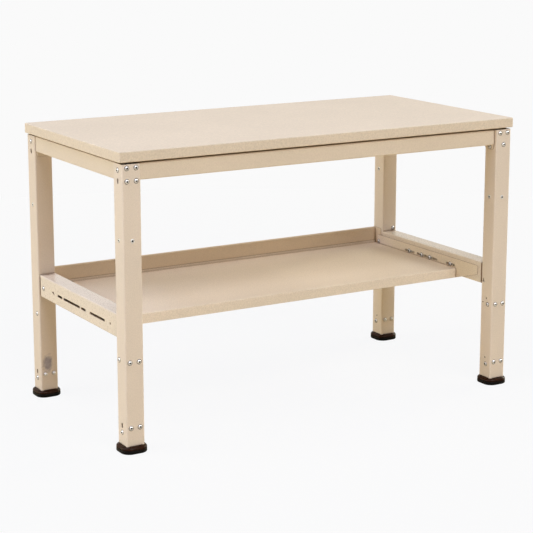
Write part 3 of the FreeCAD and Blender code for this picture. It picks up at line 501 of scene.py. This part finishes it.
def socket_shade_finish(name, colour):
    """Painted shade inside sockets and bores: dark, half glossy and uneven."""
    material, tree, output = new_material(name)
    place = add_node(tree, "ShaderNodeTexCoord").outputs["Object"]
    patch = add_node(tree, "ShaderNodeTexNoise", {"Vector": place, "Scale": 1 / mm(1.5),
                                                  "Detail": 3.0})
    tone = add_node(tree, "ShaderNodeMix", {0: patch.outputs["Fac"],
                                            6: rgba(scaled(colour, 0.5)),
                                            7: rgba(scaled(colour, 1.8))}, data_type="RGBA")
    shader = add_node(tree, "ShaderNodeBsdfPrincipled", {
        "Base Color": tone.outputs[2], "Roughness": 0.35, "IOR": 1.47})
    tree.links.new(shader.outputs[0], output.inputs[0])
    return material


def plated_steel(name, colour, roughness, grain, metallic=1.0):
    """Zinc-plated or bare steel: bright metal with a cloudy bloom that dulls it unevenly."""
    material, tree, output = new_material(name)
    place = add_node(tree, "ShaderNodeTexCoord").outputs["Object"]
    bloom = add_node(tree, "ShaderNodeTexNoise", {"Vector": place, "Scale": 1 / grain,
                                                  "Detail": 4.0})
    tone = add_node(tree, "ShaderNodeMix", {0: bloom.outputs["Fac"],
                                            6: rgba(scaled(colour, 0.82)),
                                            7: rgba(scaled(colour, 1.1))}, data_type="RGBA")
    cloud = add_node(tree, "ShaderNodeMapRange", {
        "Value": bloom.outputs["Fac"], "From Min": NOISE_LOW, "From Max": NOISE_HIGH,
        "To Min": roughness - 0.08, "To Max": roughness + 0.1})
    bump = add_node(tree, "ShaderNodeBump", {"Height": bloom.outputs["Fac"],
                                             "Distance": mm(0.03), "Strength": 1.0})
    shader = add_node(tree, "ShaderNodeBsdfPrincipled", {
        "Base Color": tone.outputs[2], "Metallic": metallic, "Roughness": cloud.outputs[0],
        "Normal": bump.outputs[0]})
    tree.links.new(shader.outputs[0], output.inputs[0])
    return material


def dress(node, material):
    """Gives a CAD node's object a new finish in each of its material slots."""
    piece = frame["nodes"][node]
    if not piece.material_slots:
        piece.data.materials.append(material)
    for slot in piece.material_slots:
        slot.material = material


def zinc(settings):
    """The one zinc finish that all fasteners share."""
    return bpy.data.materials.get("bright_zinc") or plated_steel(
        "bright_zinc", settings.zinc, roughness=0.3, grain=mm(2.5), metallic=0.8)


# ------------------------------------------------------------------------------ operators
class TABLE_OT_coat(bpy.types.Operator):
    """Powder coats the top, its ribs and the aprons"""

    bl_idname = "assembly_table.coat"
    bl_label = "Coat the top"

    def execute(self, context):
        coat = context.scene.table_coat
        satin = powder_coat("beige_powder_coat", coat.coat, coat.grain, coat.grain_depth,
                            coat.roughness)
        textured = powder_coat("textured_top_coat", coat.top, coat.grain * 1.5,
                               coat.grain_depth * 1.5, coat.roughness, speckle=0.085)
        for node in frame["nodes"]:
            if node.startswith("table_top"):
                dress(node, textured)
            elif node.startswith(("top_rib", "apron_front", "apron_rear", "apron_left",
                                  "apron_right")):
                dress(node, satin)
        return {"FINISHED"}


class TABLE_OT_legs(bpy.types.Operator):
    """Powder coats legs, rails and stringer, rubs the rear left leg and leaves the plugs bare"""

    bl_idname = "assembly_table.legs"
    bl_label = "Coat the legs and rails"

    def execute(self, context):
        coat = context.scene.table_coat
        satin = powder_coat("frame_powder_coat", coat.frame, coat.grain, coat.grain_depth,
                            coat.roughness)
        # The stringer's yellower, darker coat is painted shade
        dress("rear_stringer", powder_coat("shaded_stringer_powder_coat", coat.stringer_shade_coat, coat.grain,
                                           coat.grain_depth, coat.roughness))
        # Painted shade reaching 45 mm, nearly opaque, darkens the rails' inner webs and slots
        glossy = powder_coat("glossy_rail_coat", coat.frame, coat.grain, coat.grain_depth,
                             coat.roughness - 0.2, specular=0.5, reach=mm(45), corner_shade=0.95,
                             gloss=1.0)
        for side in ("left", "right"):
            dress(f"end_rail_{side}", glossy)
        low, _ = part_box("leg_rear_left")
        mark = ((low.x + leg_width() * SCUFF_ACROSS, low.y, SCUFF_HEIGHT), SCUFF_HALF_WIDTH,
                SCUFF_HALF_HEIGHT)
        # The rear left leg's coat is darker and yellower than the frame's, as painted shade; the
        # scuff is a real rub mark
        rubbed = powder_coat("rubbed_shaded_powder_coat", coat.rear_leg_shade_coat, coat.grain, coat.grain_depth,
                             coat.roughness, scuff=mark, scuff_colour=coat.scuff)
        bare = plated_steel("bare_mild_steel", linear(BARE_STEEL), roughness=0.45, grain=mm(4))
        for corner in CORNERS:
            dress(f"leg_{corner}", rubbed if corner == "rear_left" else satin)
            dress(f"leg_plug_{corner}", bare)
        return {"FINISHED"}


class TABLE_OT_shelf(bpy.types.Operator):
    """Powder coats the shelf and its rib, with a coarser texture on the deck"""

    bl_idname = "assembly_table.shelf"
    bl_label = "Coat the shelf"

    def execute(self, context):
        coat = context.scene.table_coat
        deck = powder_coat("textured_deck_coat", coat.deck, coat.grain * 0.9,
                           coat.grain_depth * 1.5, coat.roughness, speckle=0.12)
        dress("shelf", deck)
        dress("shelf_rib", deck)
        return {"FINISHED"}


class TABLE_OT_boots(bpy.types.Operator):
    """Moulds a rubber boot on each leg"""

    bl_idname = "assembly_table.boots"
    bl_label = "Mould the boots"

    def execute(self, context):
        boot = context.scene.table_boots
        cup = moulded_rubber("moulded_rubber_cup", boot.rubber, roughness=0.22)
        sole = moulded_rubber("rubber_sole", boot.sole, roughness=0.4)
        for corner in CORNERS:
            low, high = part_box(f"foot_{corner}")
            rings, sole_rows = boot_rings(boot, (high.x - low.x) / 2, high.z)
            centre = np.array([(low.x + high.x) / 2, (low.y + high.y) / 2, 0.0])
            points, columns = boot_surface(rings, boot.corner, (high.x - low.x) / 2)
            points = points + centre
            rows = len(rings)
            poles = np.array([centre + (0, 0, rings[0][1]), centre + (0, 0, rings[-1][1])])
            everything = np.vstack([points.reshape(-1, 3), poles])
            quads = grid_quads(rows, columns)
            first = np.arange(columns)
            last = (rows - 1) * columns + first
            lower = fan(rows * columns, first, flip=True)
            upper = fan(rows * columns + 1, last)
            numbers = np.concatenate([
                (np.arange(len(quads)) < sole_rows * columns).astype(int),
                np.ones(columns, int), np.zeros(columns, int)])
            piece = build_piece(f"boot_{corner}", everything, (quads, lower, upper),
                                (cup, sole), sharp_angle=50.0,
                                numbers=numbers)
            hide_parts(f"foot_{corner}")
        return {"FINISHED"}


def boot_rings(boot, half, height):
    """Rings of a boot from the middle of its underside, over the rim, to its pocket's floor.

    Each ring is half the width of a rounded square and its height. The side of the cup is a
    quarter of an oval, its share of the width the cosine and its share of the height the sine of
    an angle, up to a bead beside the leg. Also gives how many rows of faces belong to the sole.
    """
    wall = leg_width() / 2 + BOOT_FIT
    rim = wall + boot.rim
    groove = half - boot.groove
    under = [(half * 0.35, SOLE_HOLLOW), (half - mm(9), SOLE_HOLLOW), (half - mm(8), 0.0)]
    edge = [(half - SOLE_EDGE + SOLE_EDGE * math.sin(a), SOLE_EDGE - SOLE_EDGE * math.cos(a))
            for a in np.linspace(0, math.pi / 2, 5)]
    sole_top = boot.sole_height
    sole = [(half, sole_top - mm(0.9)), (half - mm(0.5), sole_top), (groove, sole_top + mm(0.2))]
    cup_start = sole_top + GROOVE_HEIGHT
    cup = [(groove, cup_start - mm(0.1)), (half - mm(0.5), cup_start + mm(0.2))]
    wide, tall = half - rim, height - mm(1.0) - cup_start - CUP_FOOT
    swell = [(rim + wide * math.cos(a), cup_start + CUP_FOOT + tall * math.sin(a))
             for a in np.linspace(0, math.pi / 2, 12)]
    lip = [(rim - mm(0.2), height - mm(0.5)), (rim - mm(0.7), height),
           (wall + mm(0.5), height - mm(0.1)), (wall, height - mm(0.9)),
           (wall, POCKET_FLOOR + mm(0.3)), (wall - mm(3), POCKET_FLOOR)]
    return under + edge + sole + cup + swell + lip, len(under) + len(edge) + 1


def boot_surface(rings, corner, half):
    """Grid of points: rounded squares, one for each ring, with as many points each.

    A point of a rounded square is the corner of a smaller square plus its corner radius times
    the direction of its angle; the radius shrinks with the ring.
    """
    quarter = np.linspace(0, math.pi / 2, CORNER_STEPS)
    angle = np.concatenate([quarter + k * math.pi / 2 for k in range(4)])
    side = np.repeat([[1, 1], [-1, 1], [-1, -1], [1, -1]], CORNER_STEPS, axis=0)
    widths = np.array([ring[0] for ring in rings])
    heights = np.array([ring[1] for ring in rings])
    radii = np.clip(corner - (half - widths), BOOT_LEAST_CORNER, None)
    inner = (widths - radii)[:, None]
    x = side[None, :, 0] * inner + radii[:, None] * np.cos(angle)[None]
    y = side[None, :, 1] * inner + radii[:, None] * np.sin(angle)[None]
    z = np.broadcast_to(heights[:, None], x.shape)
    return np.stack([x, y, z], -1), len(angle)


def bolt_surface(tools, length):
    """Rings of a flanged button-head bolt, from the tip of its shank to the bottom of its socket.

    Z is zero at the crown and grows towards the tip. Each ring is a circle, but for the rings of
    the socket, which are hexagons. The dome is the cap of a ball: a ring's depth is the ball's
    radius less the root of that radius squared less the ring's squared. Along the thread the
    radius is lowered by a triangle wave of the height in pitches less the share of the turn.
    Faces inside the socket are marked 1, and those of the flange 2.
    """
    angle = np.arange(ROUND_COLUMNS) * 2 * math.pi / ROUND_COLUMNS
    dome = tools.dome / 2
    rise = BOLT_HEAD - tools.flange
    ball = (dome ** 2 + rise ** 2) / (2 * rise)
    step = tools.pitch / THREAD_STEPS
    count = int(min(THREAD_LONGEST, length - THREAD_STOP) / step)
    tip = [(BOLT_SHANK - BOLT_TIP, length), (BOLT_SHANK - mm(0.1), length - BOLT_TIP)]
    thread = [(BOLT_SHANK, length - BOLT_TIP - mm(0.1) - k * step) for k in range(count)]
    flange = [(BOLT_SHANK, BOLT_HEAD), (BOLT_FLANGE - mm(0.2), BOLT_HEAD),
              (BOLT_FLANGE, BOLT_HEAD - mm(0.25)), (BOLT_FLANGE - mm(0.25), rise), (dome, rise)]
    crown = [(dome * share, ball - math.sqrt(ball ** 2 - (dome * share) ** 2))
             for share in DOME_SHARES]
    rings = np.array(tip + thread + flange + crown)
    radii = rings[:, :1] * np.ones(ROUND_COLUMNS)
    heights = rings[:, 1:] * np.ones(ROUND_COLUMNS)
    band = slice(len(tip), len(tip) + count)
    turn = angle / (2 * math.pi)
    wave = np.abs(((heights[band] / tools.pitch - turn) % 1.0) * 2 - 1)
    radii[band] = BOLT_SHANK - tools.thread_depth * wave
    socket = np.array([(1.12, mm(0.1)), (1.0, mm(0.35)), (1.0, tools.socket_depth)])
    radii = np.vstack([radii, socket[:, :1] * hexagon_radius(angle, tools.socket)])
    heights = np.vstack([heights, socket[:, 1:] * np.ones(ROUND_COLUMNS)])
    poles = np.array([[0, 0, length], [0, 0, tools.socket_depth + mm(0.4)]])
    rows = len(radii)
    quads = grid_quads(rows, ROUND_COLUMNS, downward=True)
    first = np.arange(ROUND_COLUMNS)
    last = (rows - 1) * ROUND_COLUMNS + first
    pole = rows * ROUND_COLUMNS
    caps = np.vstack([fan(pole, first), fan(pole + 1, last, flip=True)])
    row = np.arange(len(quads)) // ROUND_COLUMNS
    on_flange = (row >= band.stop) & (row < band.stop + len(flange) - 1)
    parts = (np.where(row >= rows - 2, 1, np.where(on_flange, 2, 0)),
             np.where(np.arange(len(caps)) >= ROUND_COLUMNS, 1, 0))
    points = turned_grid(radii, heights, angle).reshape(-1, 3)
    return np.vstack([points, poles]), quads, caps, parts


class TABLE_OT_bolts(bpy.types.Operator):
    """Turns the flanged button-head bolts and screws"""

    bl_idname = "assembly_table.bolts"
    bl_label = "Turn the bolts"

    nodes = ("apron_cross_bolts", "apron_end_bolts", "apron_screws", "plug_bolts", "leg_screws",
             "rail_screws", "rail_web_bolts", "shelf_bolts", "rear_leg_screws")

    def execute(self, context):
        tools = context.scene.table_fasteners
        finish = zinc(tools)
        # The sockets' near-black finish is painted shade
        recess = socket_shade_finish("shaded_socket", tools.recess)
        # The flange's darker zinc is painted shade round the head's edge
        dull = plated_steel("shaded_flange_zinc", tools.flange_shade, roughness=0.5, grain=mm(2.5),
                            metallic=0.7)
        for node in self.nodes:
            seats, axes, spans = fastener_frames(node)
            points, quads, caps, sides, ends = [], [], [], [], []
            total = 0
            for length in np.unique(spans.round(6)):
                chosen = np.isclose(spans, length, atol=1e-6)
                shape, sides_of_one, ends_of_one, parts = bolt_surface(tools, length)
                copies = placed(shape, seats[chosen], axes[chosen])
                points.append(copies.reshape(-1, 3))
                quads.append(copies_of_faces(sides_of_one, len(copies), len(shape)) + total)
                caps.append(copies_of_faces(ends_of_one, len(copies), len(shape)) + total)
                sides.append(np.tile(parts[0], len(copies)))
                ends.append(np.tile(parts[1], len(copies)))
                total += copies.shape[0] * copies.shape[1]
            piece = build_piece(f"turned_{node}", np.vstack(points),
                                (np.vstack(quads), np.vstack(caps)), (finish, recess, dull),
                                sharp_angle=40.0,
                                numbers=np.concatenate(sides + ends))
            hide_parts(node)
        return {"FINISHED"}


def nut_surface(height):
    """Closed grid of a hexagon nut round its threaded hole, chamfered top and bottom.

    Going round the section: up the hole, out over the top, down the flats, in over the bottom.
    A chamfered ring is the hexagon held back to a circle, the smaller of their two radii.
    """
    angle = np.arange(NUT_COLUMNS) * 2 * math.pi / NUT_COLUMNS
    flats = hexagon_radius(angle, NUT_FLATS)
    corner = np.minimum(flats, NUT_CORNER)
    rings = ((NUT_HOLE, mm(0.6)), (NUT_HOLE, height - mm(0.6)), (NUT_MOUTH, height),
             (NUT_FACE, height), (corner, height - mm(0.35)), (flats, height - mm(0.8)),
             (flats, mm(0.8)), (corner, mm(0.35)), (NUT_FACE, 0.0), (NUT_MOUTH, 0.0))
    radii = np.array([radius * np.ones(NUT_COLUMNS) for radius, _ in rings])
    heights = np.array([level * np.ones(NUT_COLUMNS) for _, level in rings])
    quads = grid_quads(len(rings), NUT_COLUMNS, close_rows=True, downward=True)
    return turned_grid(radii, heights, angle).reshape(-1, 3), quads


class TABLE_OT_nuts(bpy.types.Operator):
    """Cuts the hexagon nuts and dresses the blind rivet nuts inside the legs"""

    bl_idname = "assembly_table.nuts"
    bl_label = "Cut the nuts"

    nodes = ("apron_cross_nuts", "apron_end_nuts", "plug_nuts", "rail_web_nuts", "shelf_nuts")

    def execute(self, context):
        tools = context.scene.table_fasteners
        finish = zinc(tools)
        for node in self.nodes:
            seats, axes, spans = fastener_frames(node)
            shape, quads = nut_surface(float(spans[0]))
            copies = placed(shape, seats, axes)
            faces = copies_of_faces(quads, len(copies), len(shape))
            piece = build_piece(f"cut_{node}", copies, (faces,), (finish,),
                                sharp_angle=30.0)
            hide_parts(node)
        dress("leg_rivet_nuts", finish)
        return {"FINISHED"}


def insert_surface(tools):
    """Closed grid of a threaded insert, bored right through, and its faces' finishes.

    Going round the section from its inner end: out along the barrel, over the flange that stands
    on the face at height zero, and back in along the bore, whose faces are marked 1. Each ring is
    a circle.
    """
    angle = np.arange(ROUND_COLUMNS) * 2 * math.pi / ROUND_COLUMNS
    brim = tools.insert / 2
    rings = np.array([(INSERT_BARREL, INSERT_LENGTH), (INSERT_BARREL, 0.0), (brim, 0.0),
                      (brim, mm(-0.5)), (brim - mm(0.5), mm(-0.9)),
                      (INSERT_BORE + mm(0.5), mm(-1.0)), (INSERT_BORE, mm(-0.5)),
                      (INSERT_BORE, INSERT_LENGTH)])
    radii = rings[:, :1] * np.ones(ROUND_COLUMNS)
    heights = rings[:, 1:] * np.ones(ROUND_COLUMNS)
    quads = grid_quads(len(rings), ROUND_COLUMNS, close_rows=True, downward=True)
    in_bore = np.arange(len(quads)) // ROUND_COLUMNS >= len(rings) - 2
    return turned_grid(radii, heights, angle).reshape(-1, 3), quads, in_bore.astype(int)


class TABLE_OT_inserts(bpy.types.Operator):
    """Sets a threaded insert in each accessory hole of the legs"""

    bl_idname = "assembly_table.inserts"
    bl_label = "Set the inserts"

    def execute(self, context):
        tools = context.scene.table_fasteners
        seats, axes = [], []
        for corner in CORNERS:
            low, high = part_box(f"leg_{corner}")
            x, y = (low.x + high.x) / 2, (low.y + high.y) / 2
            outer, inward = (low.y, 1.0) if y < 0 else (high.y, -1.0)
            seats += [(low.x, y, tools.insert_height), (high.x, y, tools.insert_height),
                      (x, outer, tools.insert_height)]
            axes += [(1.0, 0.0, 0.0), (-1.0, 0.0, 0.0), (0.0, inward, 0.0)]
        shape, quads, numbers = insert_surface(tools)
        copies = placed(shape, np.array(seats), np.array(axes))
        faces = copies_of_faces(quads, len(copies), len(shape))
        build_piece("threaded_inserts", copies, (faces,),
                    # The bores take the sockets' painted shade
                    (zinc(tools), bpy.data.materials["shaded_socket"]),
                    sharp_angle=40.0, numbers=np.tile(numbers, len(copies)))
        return {"FINISHED"}


class TABLE_OT_stage(bpy.types.Operator):
    """Lays the floor and sets the lights, the world and the camera"""

    bl_idname = "assembly_table.stage"
    bl_label = "Set the studio"

    def execute(self, context):
        studio = context.scene.table_studio
        scene = context.scene
        scene.view_settings.view_transform = "Standard"
        scene.view_settings.look = "None"
        lay_floor(studio)
        scene.world = studio_world(studio)
        for name, setting, place in SOFTBOXES:
            softbox(name, getattr(studio, setting), place)
        scene.camera = studio_camera(studio)
        return {"FINISHED"}


def floor_paint(studio):
    """Matt pale floor paint, on which little but the table's soft shade shows.

    The camera sees an even glow plus a little lit paint. Between two distances from the table
    the glow goes over to its far tone and the lit paint fades out. Every other ray meets plain
    paint of the bounce tone.
    """
    material, tree, output = new_material("matt_studio_floor")
    path = add_node(tree, "ShaderNodeLightPath")
    place = add_node(tree, "ShaderNodeTexCoord").outputs["Object"]
    radius = add_node(tree, "ShaderNodeVectorMath", {0: place}, operation="LENGTH")
    far = add_node(tree, "ShaderNodeMapRange", {
        "Value": radius.outputs["Value"], "From Min": FLOOR_FADE[0], "From Max": FLOOR_FADE[1]},
        interpolation_type="SMOOTHSTEP")
    tone = add_node(tree, "ShaderNodeMix", {
        0: far.outputs[0], 6: rgba(studio.floor_near), 7: rgba(studio.floor)}, data_type="RGBA")
    shade = add_node(tree, "ShaderNodeMix", {
        0: far.outputs[0], 6: rgba(studio.shade), 7: (0.0, 0.0, 0.0, 1.0)}, data_type="RGBA")
    lit = add_node(tree, "ShaderNodeEmission", {"Color": tone.outputs[2]})
    shaded = add_node(tree, "ShaderNodeBsdfDiffuse", {"Color": shade.outputs[2]})
    seen = add_node(tree, "ShaderNodeAddShader", {0: lit.outputs[0], 1: shaded.outputs[0]})
    back = add_node(tree, "ShaderNodeBsdfDiffuse", {"Color": rgba(studio.bounce)})
    either = add_node(tree, "ShaderNodeMixShader", {
        0: path.outputs["Is Camera Ray"], 1: back.outputs[0], 2: seen.outputs[0]})
    tree.links.new(either.outputs[0], output.inputs[0])
    return material


def lay_floor(studio):
    """Round floor at height zero: rings of points at set distances, closed over the middle."""
    angle = np.linspace(0, 2 * math.pi, FLOOR_COLUMNS, endpoint=False)
    reach = np.array(FLOOR_RINGS)[:, None]
    rings = turned_grid(reach, np.zeros((len(reach), FLOOR_COLUMNS)), angle).reshape(-1, 3)
    points = np.vstack([rings, [[0.0, 0.0, 0.0]]])
    faces = (grid_quads(len(reach), FLOOR_COLUMNS, downward=True),
             fan(len(rings), np.arange(FLOOR_COLUMNS)))
    mesh = bpy.data.meshes.new("studio_floor")
    mesh.from_pydata(points.tolist(), [], [f for part in faces for f in part.tolist()])
    mesh.materials.append(floor_paint(studio))
    floor = bpy.data.objects.new("studio_floor", mesh)
    bpy.context.scene.collection.objects.link(floor)


def studio_world(studio):
    """World with a pale backdrop for the camera and pale walls for mirrors.

    All other rays meet the even light of the room, which comes from above the horizon only.
    """
    world = bpy.data.worlds.new("studio")
    world.use_nodes = True
    tree = world.node_tree
    tree.nodes.clear()
    ways = add_node(tree, "ShaderNodeTexCoord")
    split = add_node(tree, "ShaderNodeSeparateXYZ", {0: ways.outputs["Generated"]})
    dome = add_node(tree, "ShaderNodeMapRange", {
        "Value": split.outputs["Z"], "From Min": 0.0, "From Max": HORIZON,
        "To Min": 0.0, "To Max": 1.0})
    glow = add_node(tree, "ShaderNodeBackground", {
        "Color": rgba(studio.ambient), "Strength": dome.outputs[0]})
    seen = add_node(tree, "ShaderNodeBackground", {
        "Color": rgba(studio.floor), "Strength": 1.0})
    walls = add_node(tree, "ShaderNodeBackground", {
        "Color": rgba(studio.walls), "Strength": 1.0})
    path = add_node(tree, "ShaderNodeLightPath")
    mirrored = add_node(tree, "ShaderNodeMixShader", {
        0: path.outputs["Is Glossy Ray"], 1: glow.outputs[0], 2: walls.outputs[0]})
    either = add_node(tree, "ShaderNodeMixShader", {
        0: path.outputs["Is Camera Ray"], 1: mirrored.outputs[0], 2: seen.outputs[0]})
    sky = add_node(tree, "ShaderNodeOutputWorld")
    tree.links.new(either.outputs[0], sky.inputs[0])
    return world


def studio_camera(studio):
    """Long-lens camera in front of the table's left end, looking a little down on it."""
    data = bpy.data.cameras.new("camera")
    data.lens = studio.lens
    data.sensor_width = SENSOR_WIDTH
    data.shift_y = CAMERA_SHIFT
    data.clip_end = CAMERA_RANGE
    camera = bpy.data.objects.new("camera", data)
    camera.location = CAMERA_PLACE
    camera.rotation_euler = (math.radians(90 - CAMERA_DOWN), 0.0, math.radians(-CAMERA_ASIDE))
    bpy.context.scene.collection.objects.link(camera)
    return camera


def softbox(name, strength, place):
    """Square soft light at a place, turned to the middle of the table.

    At strength 1 a white face turned to it would come out white: the power grows with the
    square of the distance.
    """
    aim = np.array(SOFTBOX_TARGET) - np.array(place)
    data = bpy.data.lights.new(name, "AREA")
    data.shape = "SQUARE"
    data.size = SOFTBOX_SIDE
    most = max(*strength, 1e-6)
    data.color = [c / most for c in strength]
    data.energy = most * math.pi ** 2 * float(aim @ aim)
    light = bpy.data.objects.new(name, data)
    light.location = place
    light.rotation_euler = (math.atan2(math.hypot(aim[0], aim[1]), -aim[2]), 0.0,
                            math.atan2(aim[1], aim[0]) - math.pi / 2)
    bpy.context.scene.collection.objects.link(light)


class TABLE_PT_panel(bpy.types.Panel):
    """Lists the steps and settings of the assembly table"""

    bl_idname = "TABLE_PT_panel"
    bl_label = "Assembly Table"
    bl_space_type = "VIEW_3D"
    bl_region_type = "UI"
    bl_category = "Assembly Table"

    def draw(self, context):
        for step in STEPS:
            self.layout.operator(step.bl_idname)
        for name in SETTINGS:
            group = getattr(context.scene, name)
            box = self.layout.box()
            for key in group.bl_rna.properties.keys():
                if key not in ("rna_type", "name"):
                    box.prop(group, key)


SETTINGS = {"table_coat": CoatSettings, "table_boots": BootSettings,
            "table_fasteners": FastenerSettings, "table_studio": StudioSettings}
STEPS = (TABLE_OT_coat, TABLE_OT_legs, TABLE_OT_shelf, TABLE_OT_boots, TABLE_OT_bolts,
         TABLE_OT_nuts, TABLE_OT_inserts, TABLE_OT_stage)


def register():
    """Registers the settings, the steps and the panel."""
    for cls in (*SETTINGS.values(), *STEPS, TABLE_PT_panel):
        bpy.utils.register_class(cls)
    for name, cls in SETTINGS.items():
        setattr(bpy.types.Scene, name, PointerProperty(type=cls))


def unregister():
    """Takes away what register added."""
    for name in SETTINGS:
        delattr(bpy.types.Scene, name)
    for cls in reversed((*SETTINGS.values(), *STEPS, TABLE_PT_panel)):
        bpy.utils.unregister_class(cls)


def main():
    """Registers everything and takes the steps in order."""
    register()
    for step in STEPS:
        group, name = step.bl_idname.split(".")
        getattr(getattr(bpy.ops, group), name)()


if __name__ == "__main__":
    main()
